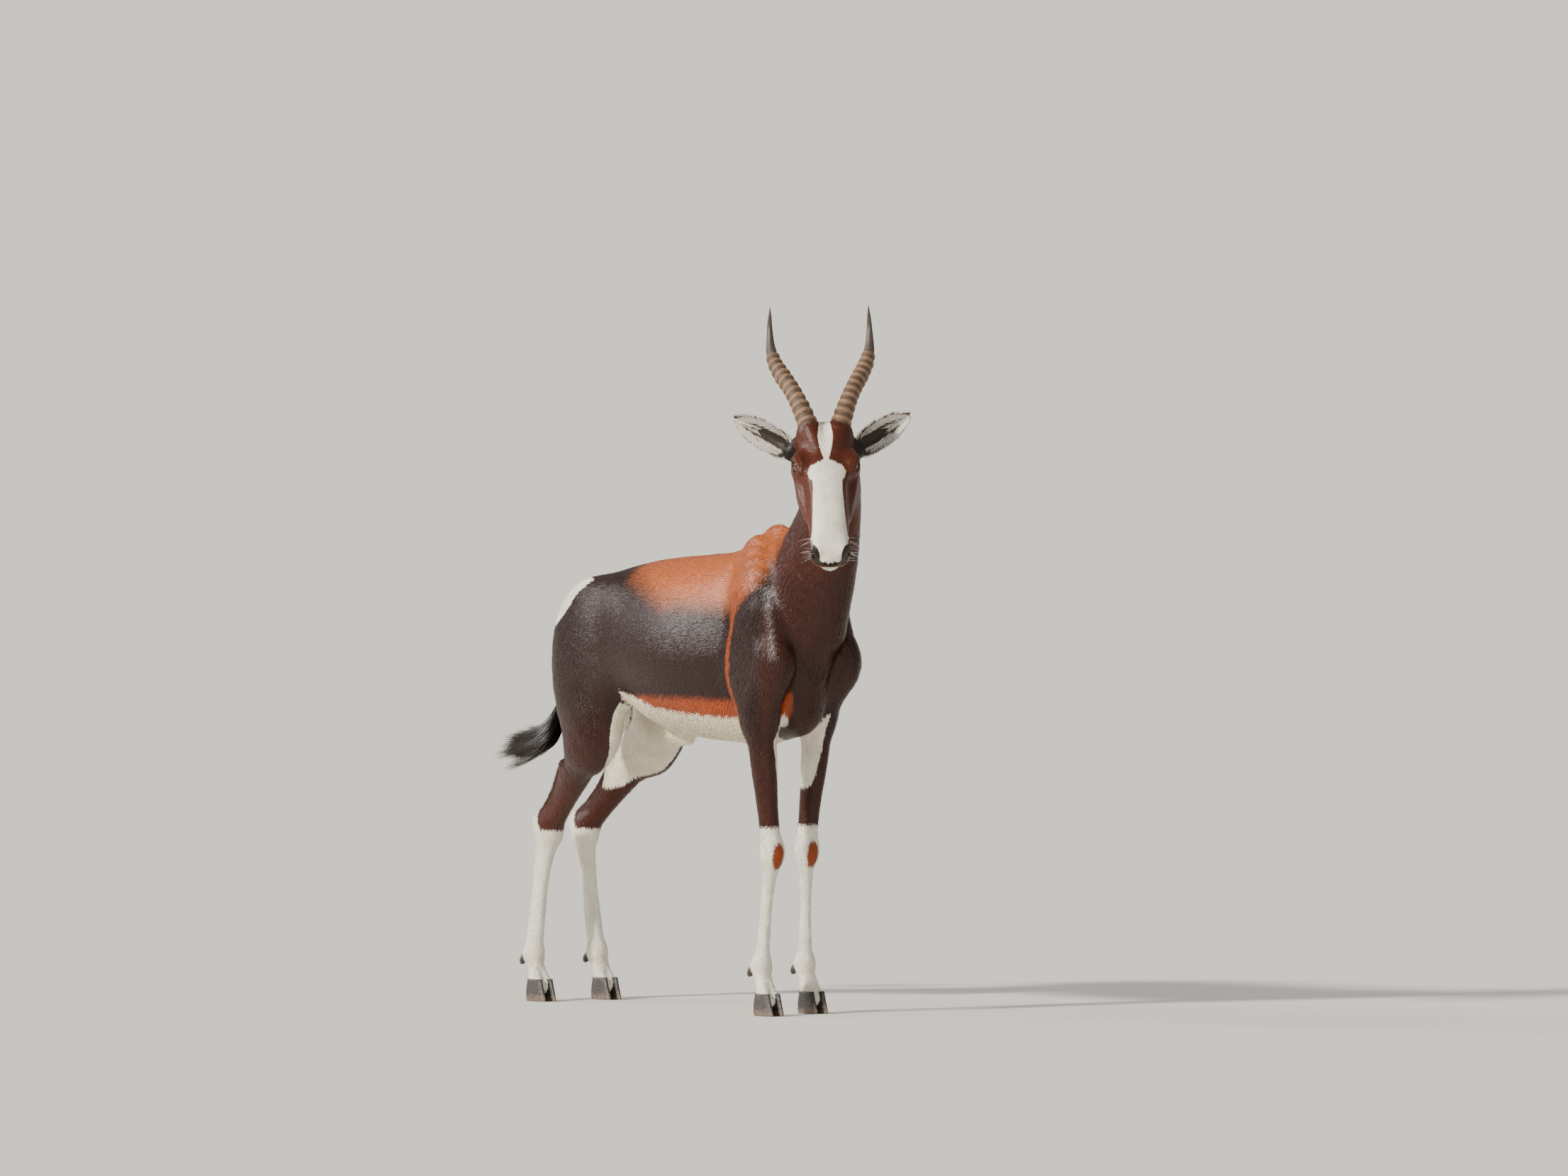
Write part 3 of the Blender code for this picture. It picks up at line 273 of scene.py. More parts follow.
def carved(hollows, points, d):
    """The distance with the hollows taken out of it, each with a soft rim."""
    for hollow in hollows:
        near = np.linalg.norm(points - hollow.centre, axis=1) < hollow.reach + NEAR
        if near.any():
            d[near] = -smooth_min(-d[near], hollow.distance(points[near]), hollow.blend)
    return d


def trunk_forms():
    rows = [
        (-0.700, 0.715, 0.660, 0.020, 0.50, 2.00, 2.0),
        (-0.665, 0.742, 0.630, 0.046, 0.48, 1.90, 2.1),
        (-0.600, 0.776, 0.605, 0.067, 0.46, 1.70, 2.1),
        (-0.520, 0.808, 0.580, 0.092, 0.46, 1.75, 2.2),
        (-0.420, 0.828, 0.548, 0.116, 0.45, 1.85, 2.2),
        (-0.320, 0.839, 0.516, 0.128, 0.43, 1.80, 2.2),
        (-0.220, 0.847, 0.504, 0.129, 0.43, 1.70, 2.1),
        (-0.120, 0.860, 0.500, 0.114, 0.43, 1.50, 2.0),
        (-0.050, 0.893, 0.500, 0.098, 0.42, 1.22, 1.9),
        (0.010, 0.912, 0.506, 0.084, 0.42, 1.15, 1.8),
        (0.060, 0.862, 0.528, 0.070, 0.42, 1.45, 1.8),
        (0.110, 0.780, 0.566, 0.052, 0.45, 1.80, 1.8),
        (0.134, 0.730, 0.615, 0.028, 0.45, 2.00, 2.0),
    ]
    return [
        lofted(rows, blend=0.05),
        bulge((-0.345, 0, 0.508), (0.045, 0.014, 0.019), aim=(1, 0, -0.2), blend=0.03),
        bulge((-0.560, 0, 0.545), (0.024, 0.026, 0.044), blend=0.02),
        bulge((0.070, 0, 0.565), (0.045, 0.038, 0.042), blend=0.05),
    ]


def neck_forms():
    path = [
        (0.030, 0, 0.715), (0.097, 0.003, 0.810), (0.156, 0.004, 0.905), (0.200, -0.010, 0.985),
        (0.222, -0.030, 1.045),
    ]
    throat = [(0.144, 0.020, 0.715), (0.176, 0.018, 0.785), (0.208, 0.010, 0.865), (0.238, -0.012, 0.985)]
    return [
        tube(path, [0.074, 0.064, 0.053, 0.047, 0.044], [0.125, 0.098, 0.078, 0.066, 0.052],
             side=(0.25, 0.97, 0), blend=0.05),
        tube(throat, [0.028, 0.027, 0.024, 0.017], [0.028, 0.027, 0.024, 0.017], blend=0.05),
    ]


def head_forms():
    rows = [
        (-0.030, -0.066, -0.085, 0.020, 0.60, 2.0, 2.00),
        (-0.010, -0.030, -0.100, 0.036, 0.62, 2.1, 1.80),
        (0.020, -0.006, -0.120, 0.047, 0.66, 2.2, 1.60),
        (0.050, 0.000, -0.136, 0.051, 0.68, 2.2, 1.55),
        (0.080, 0.002, -0.146, 0.051, 0.68, 2.3, 1.45),
        (0.119, 0.000, -0.143, 0.0485, 0.66, 2.4, 1.40),
        (0.164, -0.004, -0.126, 0.0445, 0.62, 2.4, 1.45),
        (0.210, -0.010, -0.107, 0.039, 0.56, 2.4, 1.60),
        (0.255, -0.017, -0.094, 0.0360, 0.52, 2.4, 1.90),
        (0.282, -0.022, -0.089, 0.0375, 0.50, 2.3, 2.10),
        (0.303, -0.030, -0.082, 0.0330, 0.50, 2.2, 2.20),
        (HEAD_LENGTH, -0.045, -0.068, 0.0180, 0.50, 2.0, 2.00),
    ]
    forms = [lofted(rows, origin=POLL, axes=HEAD_AXES, blend=0.03)]
    for s in SIDES.values():
        socket = along_head(s, (0.078, 0.054, -0.020), (0.100, 0.055, -0.011), (0.122, 0.050, -0.020))
        cheek = along_head(s, (0.092, 0.052, -0.050), (0.138, 0.0455, -0.060), (0.197, 0.036, -0.060))
        ear_stub = [at_head(0.020, s * 0.040, -0.052), at_head(*np.multiply(EAR_ROOT, (1, s, 1)))]
        eye = at_head(*np.multiply(EYE_PLACE, (1, s, 1)))
        horn_base = at_head(*np.multiply(HORN_SEAT, (1, s, 1)))
        rise = unit(ACROSS * s * 0.0145 + CROWN * 0.040 - AHEAD * 0.020)
        pedicle = [horn_base - rise * 0.035, horn_base]
        forms += [
            bulge(at_head(0.098, s * 0.044, -0.027), (0.034, 0.016, 0.022), FACE, BROW, 0.014),
            bulge(at_head(0.086, s * 0.051, -0.042), (0.018, 0.0130, 0.013), FACE, BROW, 0.010),
            tube(socket, [0.0065, 0.0070, 0.0060], [0.0065, 0.0070, 0.0060], blend=0.010),
            bulge(at_head(0.100, s * 0.037, -0.088), (0.048, 0.018, 0.040), FACE, BROW, 0.020),
            tube(cheek, [0.0065, 0.0080, 0.0060], [0.008, 0.010, 0.009], side=ACROSS, blend=0.014),
            bulge(at_head(0.030, s * 0.031, -0.014), (0.024, 0.020, 0.022), FACE, BROW, 0.016),
            tube(pedicle, [0.0215, 0.0212], [0.0250, 0.0250], side=ACROSS, blend=0.012),
            bulge(eye, (EYE_RADIUS + 0.0026,) * 3, blend=0.006),
            tube(ear_stub, [0.019, 0.016], [0.019, 0.017], blend=0.014),
            bulge(at_head(0.288, s * 0.0215, -0.042), (0.022, 0.014, 0.017), FACE, BROW, 0.010),
            bulge(at_head(0.280, s * 0.0180, -0.071), (0.026, 0.018, 0.010), FACE, BROW, 0.008),
        ]
    forms.append(bulge(at_head(0.278, 0, -0.088), (0.026, 0.021, 0.0095), FACE, BROW, 0.008))
    return forms


def head_hollows():
    hollows = []
    for s in SIDES.values():
        nostril = along_head(s, (0.280, 0.0335, -0.034), (0.292, 0.0350, -0.043), (0.303, 0.0270, -0.054))
        corner = along_head(s, (0.228, 0.043, -0.079), (0.257, 0.040, -0.081), (0.293, 0.031, -0.0825))
        chin = along_head(s, (0.293, 0.031, -0.0825), (0.307, 0.012, -0.0800), (0.309, 0, -0.0795))
        temple = at_head(0.062, s * 0.066, -0.036)
        out = eye_out(s)
        opening = at_head(*np.multiply(EYE_PLACE, (1, s, 1))) + out * EYE_RADIUS
        hollows += [
            tube(nostril, [0.0022, 0.0036, 0.0020], [0.0034, 0.0050, 0.0026], side=ACROSS, blend=0.004),
            tube(corner, [0.0045, 0.0050, 0.0040], [0.0012, 0.0014, 0.0014], side=ACROSS, blend=0.003),
            tube(chin, [0.0040, 0.0030, 0.0030], [0.0014, 0.0014, 0.0014], side=ACROSS, blend=0.003),
            bulge(temple, (0.020, 0.008, 0.014), FACE, BROW, 0.016),
            bulge(opening, (0.0130, 0.0078, 0.0100), FACE, out, 0.002),
            bulge(at_head(0.169, s * 0.052, -0.030), (0.046, 0.012, 0.014), FACE, BROW, 0.016),
        ]
    return hollows


def fore_leg_forms(side):
    s = SIDES[side]
    leg = {name: np.array(place) for name, place in FORE[side].items()}
    blade_top = np.array([-0.022, s * 0.030, 0.838])
    blade = [
        blade_top,
        between(blade_top, leg["shoulder"], 0.5) + (0, s * 0.022, 0),
        leg["shoulder"] + (-0.012, 0, 0),
    ]
    upper_arm = [leg["shoulder"] + (-0.010, 0, 0), leg["elbow"] + (0.008, 0, 0.020)]
    forearm = [
        leg["elbow"] + (0.004, 0, 0.015),
        between(leg["elbow"], leg["knee"], 0.28) + (0.003, 0, 0),
        between(leg["elbow"], leg["knee"], 0.70),
        leg["knee"],
    ]
    cannon = [
        leg["knee"] + (0, 0, -0.020),
        between(leg["knee"], leg["fetlock"], 0.25),
        between(leg["knee"], leg["fetlock"], 0.80),
        leg["fetlock"],
    ]
    triceps = leg["elbow"] + (-0.034, s * 0.002, 0.080)
    return [
        tube(blade, [0.017, 0.026, 0.025], [0.050, 0.066, 0.052], blend=0.040),
        bulge(leg["shoulder"] + (0, s * 0.003, 0.002), (0.036, 0.025, 0.040), blend=0.026),
        tube(upper_arm, [0.026, 0.025], [0.050, 0.044], blend=0.030),
        bulge(triceps, (0.092, 0.060, 0.026), aim=(0.55, 0, -1), side=LEFT, blend=0.030),
        bulge(leg["elbow"] + (-0.028, 0, 0.004), (0.017, 0.014, 0.026), blend=0.022),
        tube(forearm, [0.0260, 0.0235, 0.0185, 0.0185], [0.0370, 0.0320, 0.0235, 0.0220], blend=0.026),
        bulge(leg["knee"] + (0.004, 0, -0.002), (0.0230, 0.0215, 0.0290), blend=0.014),
        tube(cannon, [0.0165, 0.0124, 0.0120, 0.0155], [0.0190, 0.0165, 0.0160, 0.0180], blend=0.014),
    ] + foot_forms(leg)


def hind_leg_forms(side):
    s = SIDES[side]
    leg = {name: np.array(place) for name, place in HIND[side].items()}
    shank = leg["hock"] - leg["stifle"]
    heel = leg["hock"] + (-0.034, 0, 0.010)
    thigh = [
        (-0.545, s * 0.070, 0.690),
        between((-0.560, s * 0.078, 0.700), leg["stifle"], 0.5) + (-0.015, s * 0.006, -0.008),
        leg["stifle"] + (-0.045, 0, -0.025),
    ]
    fold = [(-0.395, s * 0.084, 0.668), leg["stifle"] + (0.028, 0, 0.050), leg["stifle"] + (0.008, 0, -0.014)]
    gaskin = [
        leg["stifle"] + (-0.035, 0, -0.010),
        leg["stifle"] + shank * 0.40 + (-0.006, 0, 0.004),
        leg["stifle"] + shank * 0.75,
        leg["hock"],
    ]
    tendon = [
        leg["stifle"] + shank * 0.50 + (-0.045, 0, 0.020),
        leg["stifle"] + shank * 0.80 + (-0.035, 0, 0.015),
        heel,
    ]
    cannon = [
        leg["hock"] + (-0.004, 0, -0.015),
        between(leg["hock"], leg["fetlock"], 0.25) + (-0.005, 0, 0),
        between(leg["hock"], leg["fetlock"], 0.80) + (-0.001, 0, 0),
        leg["fetlock"],
    ]
    flexor = [
        heel + (0.004, 0, -0.010),
        between(leg["hock"], leg["fetlock"], 0.30) + (-0.020, 0, 0),
        between(leg["hock"], leg["fetlock"], 0.85) + (-0.012, 0, 0),
    ]
    return [
        bulge((-0.515, s * 0.060, 0.720), (0.115, 0.040, 0.074), aim=(1, 0, 0.2), blend=0.045),
        bulge((-0.605, s * 0.054, 0.646), (0.064, 0.036, 0.080), aim=(1, 0, 0.2), blend=0.040),
        tube(thigh, [0.033, 0.036, 0.033], [0.088, 0.102, 0.076], blend=0.045),
        tube(fold, [0.014, 0.020, 0.021], [0.026, 0.032, 0.030], blend=0.040),
        tube(gaskin, [0.0330, 0.0255, 0.0180, 0.0190], [0.0560, 0.0420, 0.0255, 0.0240], blend=0.032),
        tube(tendon, [0.0090, 0.0062, 0.0100], [0.0110, 0.0078, 0.0120], blend=0.020),
        bulge(leg["hock"], (0.0270, 0.0215, 0.0330), blend=0.018),
        bulge(heel, (0.0140, 0.0125, 0.0190), blend=0.016),
        tube(cannon, [0.0185, 0.0148, 0.0140, 0.0160], [0.0260, 0.0195, 0.0180, 0.0190], blend=0.016),
        tube(flexor, [0.0090, 0.0085, 0.0090], [0.0105, 0.0095, 0.0095], blend=0.012),
    ] + foot_forms(leg)


def foot_forms(leg):
    """The fetlock and the pastern, which parts in two above the hooves."""
    forms = [bulge(leg["fetlock"], (0.0205, 0.0192, 0.0215), blend=0.012)]
    for s in SIDES.values():
        middle = between(leg["fetlock"], leg["toe"], 0.5) + (0.001, s * 0.0070, 0)
        toe = leg["toe"] + (0.004, s * 0.0100, 0)
        forms.append(tube([leg["fetlock"] + (0, s * 0.004, 0), middle, toe],
                          [0.0120, 0.0095, 0.0102], [0.0150, 0.0145, 0.0210], blend=0.008))
    return forms


def tail_forms():
    return [tube(TAIL_BONES, [0.022, 0.015, 0.0105, 0.0080], [0.022, 0.014, 0.0100, 0.0080], blend=0.022)]


def flesh_forms():
    forms = trunk_forms() + neck_forms() + head_forms() + tail_forms()
    for side in SIDES:
        forms += fore_leg_forms(side) + hind_leg_forms(side)
    return forms


FORMS = flesh_forms()
HOLLOWS = head_hollows()


def flesh(points):
    return carved(HOLLOWS, points, joined(FORMS, points))




# Meshing


def settled(field, cell):
    """Fills grid points where two sheets of the surface would touch along an edge or at a point."""
    unit_steps = [(0, 0, 1), (0, 1, 0), (1, 0, 0)]

    def at(array, step):
        return array[tuple(slice(i, n - 1 + i) for i, n in zip(step, array.shape))]

    changed = True
    while changed:
        inside = field < 0
        fill = np.zeros_like(inside)
        for a in range(3):
            for b in range(a):
                e, f = unit_steps[a], unit_steps[b]
                near, far = at(inside, (0, 0, 0)), at(inside, np.add(e, f))
                one, two = at(inside, e), at(inside, f)
                at(fill, e)[...] |= near & far & ~one & ~two
                at(fill, (0, 0, 0))[...] |= ~near & ~far & one & two
        corners = [(i, j, k) for i in (0, 1) for j in (0, 1) for k in (0, 1)]
        count = sum(at(inside, c).astype(int) for c in corners)
        for c in corners[:4]:
            opposite = tuple(1 - i for i in c)
            both = at(inside, c) & at(inside, opposite) & (count == 2)
            neither = ~at(inside, c) & ~at(inside, opposite) & (count == 6)
            at(fill, (c[0], c[1], 1 - c[2]))[...] |= both
            at(fill, c)[...] |= neither
        fill &= ~inside
        changed = fill.any()
        field[fill] = -0.02 * cell
    return field


def surface_nets(distance, low, high, cell):
    """Points and quads of the closed surface where the distance is nought, from a grid of cells."""
    low = np.asarray(low, float)
    count = np.ceil((np.asarray(high) - low) / cell).astype(int) + 1
    axes = [low[i] + cell * np.arange(count[i]) for i in range(3)]
    grid = np.stack(np.meshgrid(*axes, indexing="ij"), axis=-1).reshape(-1, 3)
    field = settled(distance(grid).reshape(count), cell)
    inside = field < 0
    n = count - 1
    corners = sum(
        inside[i:n[0] + i, j:n[1] + j, k:n[2] + k].astype(int) for i in (0, 1) for j in (0, 1) for k in (0, 1)
    )
    mixed = (corners > 0) & (corners < 8)
    number = np.full(n, -1)
    number[mixed] = np.arange(mixed.sum())
    cells = np.argwhere(mixed)
    total = np.zeros((len(cells), 3))
    hits = np.zeros(len(cells))
    faces = []
    for axis in range(3):
        step = np.eye(3, dtype=int)[axis]
        b, c = np.eye(3, dtype=int)[(axis + 1) % 3], np.eye(3, dtype=int)[(axis + 2) % 3]
        for start in (cells, cells + b, cells + c, cells + b + c):
            f0, f1 = field[tuple(start.T)], field[tuple((start + step).T)]
            crossed = (f0 < 0) != (f1 < 0)
            t = np.where(crossed, f0 / np.where(crossed, f0 - f1, 1), 0)
            total[crossed] += (start + t[:, None] * step)[crossed]
            hits[crossed] += 1
        first = tuple(slice(0 if i == axis else 1, count[i] - 1) for i in range(3))
        second = tuple(slice(1, count[i] if i == axis else count[i] - 1) for i in range(3))
        at = np.argwhere(inside[first] != inside[second]) + (1 - step)
        quad = np.stack([number[tuple(r.T)] for r in (at, at - b, at - b - c, at - c)], axis=1)
        inward = ~inside[tuple(at.T)]
        quad[inward] = quad[inward][:, ::-1]
        faces.append(quad)
    return low + cell * total / hits[:, None], np.concatenate(faces)


def claw_outline(long, wide, forward, s, corners=14):
    """One claw seen from above: pointed in front, round behind, flatter on its inner side."""
    angle = 2 * pi * np.arange(corners) / corners
    x = forward + long / 2 * np.cos(angle)
    y = wide / 2 * np.sin(angle) * (1 - 0.30 * np.cos(angle))
    return np.stack([x, np.where(y * s < 0, y * 0.84, y)], axis=1)


CLAW_ASIDE = 0.0112  # from the middle of a foot to the middle of each of its claws


def frame_place():
    """How far the frame stands from the flesh: the box of the left fore foot's outer claw tells."""
    longest = claw_outline(0.062, 0.0205, 0.0080, 1)
    widest = claw_outline(0.0615, 0.0212, 0.0070, 1)
    toe_x, toe_y, _ = FORE["left"]["toe"]
    low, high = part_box("hoof_fore_left_outer")
    front = toe_x + longest[:, 0].max()
    outer = toe_y + CLAW_ASIDE + widest[:, 1].max()
    return np.array([high.x - front, high.y - outer, low.z])


PLACE = frame_place()


def add_mesh(name, points, faces, material):
    """An object of the points and faces, moved into the frame's place."""
    mesh = bpy.data.meshes.new(name)
    corners = np.concatenate([np.asarray(f, np.int32).ravel() for f in faces])
    counts = np.concatenate([np.full(len(f), len(f[0]), np.int32) for f in faces])
    mesh.vertices.add(len(points))
    mesh.vertices.foreach_set("co", (np.asarray(points) + PLACE).astype(np.float32).ravel())
    mesh.loops.add(len(corners))
    mesh.loops.foreach_set("vertex_index", corners)
    mesh.polygons.add(len(counts))
    mesh.polygons.foreach_set("loop_start", np.cumsum(counts, dtype=np.int32) - counts)
    mesh.update(calc_edges=True)
    mesh.validate()
    mesh.shade_smooth()
    mesh.materials.append(material)
    obj = bpy.data.objects.new(name, mesh)
    bpy.context.scene.collection.objects.link(obj)
    return obj


def mesh_points(mesh):
    """The mesh's points, back in the flesh's own place."""
    points = np.zeros(len(mesh.vertices) * 3, np.float32)
    mesh.vertices.foreach_get("co", points)
    return points.reshape(-1, 3).astype(float) - PLACE


def mesh_normals(mesh):
    """The outward direction at each of the mesh's points."""
    normals = np.zeros(len(mesh.vertices) * 3, np.float32)
    mesh.vertex_normals.foreach_get("vector", normals)
    return normals.reshape(-1, 3).astype(float)


def store(mesh, values):
    """Keeps each named row of numbers on the mesh's points."""
    for name, numbers in values.items():
        kept = mesh.attributes.new(name, "FLOAT", "POINT")
        kept.data.foreach_set("value", np.asarray(numbers, np.float32))


def ring_faces(rings, sides, start=0):
    """Quads between rings of points, in order."""
    r, i = np.meshgrid(np.arange(rings - 1), np.arange(sides), indexing="ij")
    j = (i + 1) % sides
    quads = np.stack([r * sides + i, r * sides + j, (r + 1) * sides + j, (r + 1) * sides + i], axis=-1)
    return quads.reshape(-1, 4) + start


def units(v):
    """Rows made one long."""
    return v / np.maximum(np.linalg.norm(v, axis=-1, keepdims=True), 1e-9)


# Materials


def linear(colour):
    """An sRGB hex value as a linear colour."""
    channels = [int(colour[i:i + 2], 16) / 255 for i in (1, 3, 5)]
    return tuple(c / 12.92 if c <= 0.04045 else ((c + 0.055) / 1.055) ** 2.4 for c in channels)


def millimetres(size):
    """The scale that gives a noise texture features of this size."""
    return 1000 / size


class Finish:
    """A material with its shader, and one way to add a node with its settings and links."""

    def __init__(self, name, shader):
        self.material = bpy.data.materials.new(name)
        self.material.use_nodes = True
        self.tree = self.material.node_tree
        self.shader = self.tree.nodes["Principled BSDF"]
        for key, value in shader.items():
            self.shader.inputs[key].default_value = value

    def add(self, kind, inputs=None, out=0, **settings):
        """Adds a node and gives one of its outputs; an input is a value or another output."""
        made = self.tree.nodes.new(kind)
        for key, value in settings.items():
            setattr(made, key, value)
        for key, value in (inputs or {}).items():
            if isinstance(value, bpy.types.NodeSocket):
                self.tree.links.new(value, made.inputs[key])
            else:
                made.inputs[key].default_value = value
        return made.outputs[out]

    def link(self, output, socket):
        """Leads an output to one of the shader's inputs."""
        self.tree.links.new(output, self.shader.inputs[socket])

    def mark(self, name):
        """The numbers kept on the mesh under this name."""
        return self.add("ShaderNodeAttribute", attribute_name=name, out=2)

    def place(self, stretch=(1, 1, 1)):
        """Where a point is, in metres, squeezed along each axis."""
        place = self.add("ShaderNodeTexCoord", out=3)
        return self.add("ShaderNodeMapping", {"Vector": place, "Scale": stretch})

    def noise(self, scale, vector, detail=2.0):
        return self.add("ShaderNodeTexNoise", {"Vector": vector, "Scale": scale, "Detail": detail})

    def sum(self, a, b, factor=1.0, offset=0.0):
        """a + b * factor + offset"""
        total = self.add("ShaderNodeMath", {0: b, 1: factor, 2: a}, operation="MULTIPLY_ADD")
        return self.add("ShaderNodeMath", {0: total, 1: offset}, operation="ADD")

    def between(self, value, low, high, to_low=0.0, to_high=1.0):
        """A smooth step from to_low to to_high as the value goes from low to high."""
        inputs = {"Value": value, "From Min": low, "From Max": high, "To Min": to_low, "To Max": to_high}
        return self.add("ShaderNodeMapRange", inputs, interpolation_type="SMOOTHSTEP")

    def mix(self, share, one, other, blend="MIX"):
        """Colours: one, going over to the other."""
        one, other = [c if isinstance(c, bpy.types.NodeSocket) else (*c, 1) for c in (one, other)]
        inputs = {0: share, 6: one, 7: other}
        return self.add("ShaderNodeMix", inputs, out=2, data_type="RGBA", blend_type=blend)

    def shaded(self, colour, shade):
        """The colour, made darker or lighter by the shade."""
        grey = self.add("ShaderNodeCombineColor", {0: shade, 1: shade, 2: shade})
        return self.mix(1.0, colour, grey, "MULTIPLY")

    def bump(self, height, depth):
        """Relief of this depth in metres."""
        inputs = {"Height": height, "Distance": depth, "Strength": 1.0}
        self.link(self.add("ShaderNodeBump", inputs), "Normal")


def coat_finish(name, coat, streak, depth):
    """Short glossy hair in the bontebok's colours: each mark's edge is broken into single hairs."""
    shader = {"Specular IOR Level": 0.32, "Sheen Weight": 0.03, "Sheen Roughness": 0.35}
    finish = Finish(name, {**shader, "Sheen Tint": (*linear("#E8C4AC"), 1)})
    place = finish.place()
    hairs = finish.noise(millimetres(streak), place, 3.0)
    clumps = finish.noise(millimetres(26), place, 3.0)
    tone = finish.mark("tone")

    def edge(mark, ragged, sharp):
        """The mark with its soft border broken up by the hairs."""
        broken = finish.sum(mark, hairs, ragged, -0.5 * ragged)
        broken = finish.sum(broken, tone, 0.5 * ragged, -0.25 * ragged)
        return finish.between(broken, 0.5 - sharp, 0.5 + sharp)

    colour = finish.mix(finish.mark("russet"), coat.chestnut, coat.russet)
    for mark, sharp in (("plum", 0.50), ("copper", 0.42), ("rust", 0.34), ("black", 0.10)):
        colour = finish.mix(edge(finish.mark(mark), 0.3, sharp), colour, getattr(coat, mark))
    white = edge(finish.mark("white"), 0.35, 0.10)
    colour = finish.mix(white, colour, finish.mix(finish.mark("cream"), coat.white, coat.cream))
    shade = finish.sum(finish.sum(clumps, tone, 0.55), hairs, 0.35)
    shade = finish.between(shade, 0.55, 1.35, 0.86, 1.12)
    finish.link(finish.shaded(colour, shade), "Base Color")
    rough = finish.sum(finish.sum(white, finish.mark("plum"), -0.12), clumps, 0.12)
    finish.link(finish.between(rough, 0.0, 1.1, 0.33, 0.66), "Roughness")
    finish.bump(finish.sum(hairs, clumps, 1.5), depth)
    return finish.material


def hair_finish(coat):
    """The coat's tufts: hair with a soft gloss along it."""
    return coat_finish("Glossy short hair", coat, 3.0, 0.0006)


def hide_finish(coat):
    """Living hide under its hair, with the hair's nap as a fine bump."""
    return coat_finish("Hide under short hair", coat, 2.2, 0.0010)


def horn_finish(horns):
    """Horn keratin: worn straw-brown ridges, darker grooves, and a polished dark tip."""
    finish = Finish("Ringed horn keratin", {"IOR": 1.54})
    grain = finish.noise(millimetres(1.4), finish.place((1, 1, 0.22)), 4.0)
    patches = finish.noise(millimetres(14), finish.place(), 3.0)
    ridge, along = finish.mark("ridge"), finish.mark("along")
    worn = finish.between(finish.sum(finish.sum(ridge, grain, 0.7, -0.35), patches, 0.9, -0.45), 0.05, 0.75)
    colour = finish.mix(worn, horns.groove, horns.ridge)
    colour = finish.mix(finish.between(finish.sum(along, patches, 0.08), 0.64, 0.76), colour, horns.tip)
    shade = finish.between(finish.sum(grain, patches, 0.5), 0.4, 1.1, 0.72, 1.22)
    finish.link(finish.shaded(colour, shade), "Base Color")
    finish.link(finish.between(along, 0.62, 0.95, 0.62, 0.30), "Roughness")
    finish.bump(grain, 0.0007)
    return finish.material


def hoof_finish(feet):
    """Hoof horn: fine growth bands across, scuffed paler near the ground."""
    finish = Finish("Dark hoof keratin", {"IOR": 1.54})
    bands = finish.noise(millimetres(1.8), finish.place((0.12, 0.12, 1)), 3.0)
    scuffs = finish.noise(millimetres(5), finish.place(), 4.0)
    worn = finish.between(finish.sum(scuffs, finish.mark("low"), 0.5), 0.55, 1.15)
    finish.link(finish.mix(worn, feet.hoof, feet.scuffed), "Base Color")
    finish.link(finish.between(scuffs, 0.3, 0.7, 0.38, 0.62), "Roughness")
    finish.bump(finish.sum(bands, scuffs, 0.6), 0.0008)
    return finish.material


def eye_finish(eyes):
    """The wet cornea over a dark brown iris and a wide level pupil."""
    finish = Finish("Wet eye", {"Roughness": 0.12, "IOR": 1.376, "Coat Weight": 1.0, "Coat Roughness": 0.02})
    rays = finish.noise(millimetres(1.1), finish.place(), 4.0)
    iris = finish.mix(finish.between(rays, 0.3, 0.7), eyes.iris, eyes.iris_light)
    colour = finish.mix(finish.mark("limbus"), iris, eyes.limbus)
    finish.link(finish.mix(finish.mark("pupil"), colour, linear("#060505")), "Base Color")
    return finish.material


def ear_finish(coat):
    """Thin ear skin under pale hair, darker at its rim and on its back."""
    shader = {"Roughness": 0.60, "Sheen Weight": 0.15, "Subsurface Weight": 0.10, "Subsurface Scale": 0.004}
    finish = Finish("Pale-haired ear skin", shader)
    hairs = finish.noise(millimetres(2.0), finish.place(), 3.0)
    ragged = finish.sum(finish.mark("dark"), hairs, 0.5, -0.25)
    inner = finish.mix(finish.between(ragged, 0.35, 0.65), coat.ear, coat.ear_dark)
    back = finish.mix(finish.between(hairs, 0.3, 0.7), coat.chestnut, coat.russet)
    finish.link(finish.mix(finish.mark("back"), inner, back), "Base Color")
    finish.bump(hairs, 0.0008)
    return finish.material


def ear_hair_finish(coat):
    """Fine pale hair of the ear, with dark streaks and a brown back."""
    finish = Finish("Fine ear hair", {"Roughness": 0.55, "Sheen Weight": 0.15})
    inner = finish.mix(finish.between(finish.mark("dark"), 0.4, 0.6), coat.ear_hair, coat.ear_dark)
    colour = finish.mix(finish.mark("back"), inner, coat.chestnut)
    finish.link(finish.shaded(colour, finish.between(finish.mark("tone"), 0, 1, 0.80, 1.15)), "Base Color")
    return finish.material


def tail_finish(coat):
    """Long black tail hair, with random strands painted a lighter brown: painted light, as where the sun
    comes through the hair.
    """
    finish = Finish("Long black tail hair", {})
    tone = finish.mark("tone")
    # Painted light: the brown strands stand in for sun shining through the black hair.
    finish.link(finish.mix(finish.between(tone, 0.55, 1.0), coat.black, coat.painted_sunlit_tail), "Base Color")
    finish.link(finish.between(tone, 0, 1, 0.30, 0.50), "Roughness")
    return finish.material


def floor_finish():
    """Pale studio paper: matt and even."""
    finish = Finish("Pale matt paper", {"Roughness": 0.9})
    fibres = finish.noise(millimetres(30), finish.place(), 3.0)
    finish.link(finish.mix(fibres, linear("#D9D6CF"), linear("#DEDBD4")), "Base Color")
    return finish.material


# Markings, as numbers from nought to one on the points of skin and coat


def soft(x, width):
    """Nought to one across a border of this width, with x counted into the area."""
    return np.clip(0.5 + x / width, 0, 1)


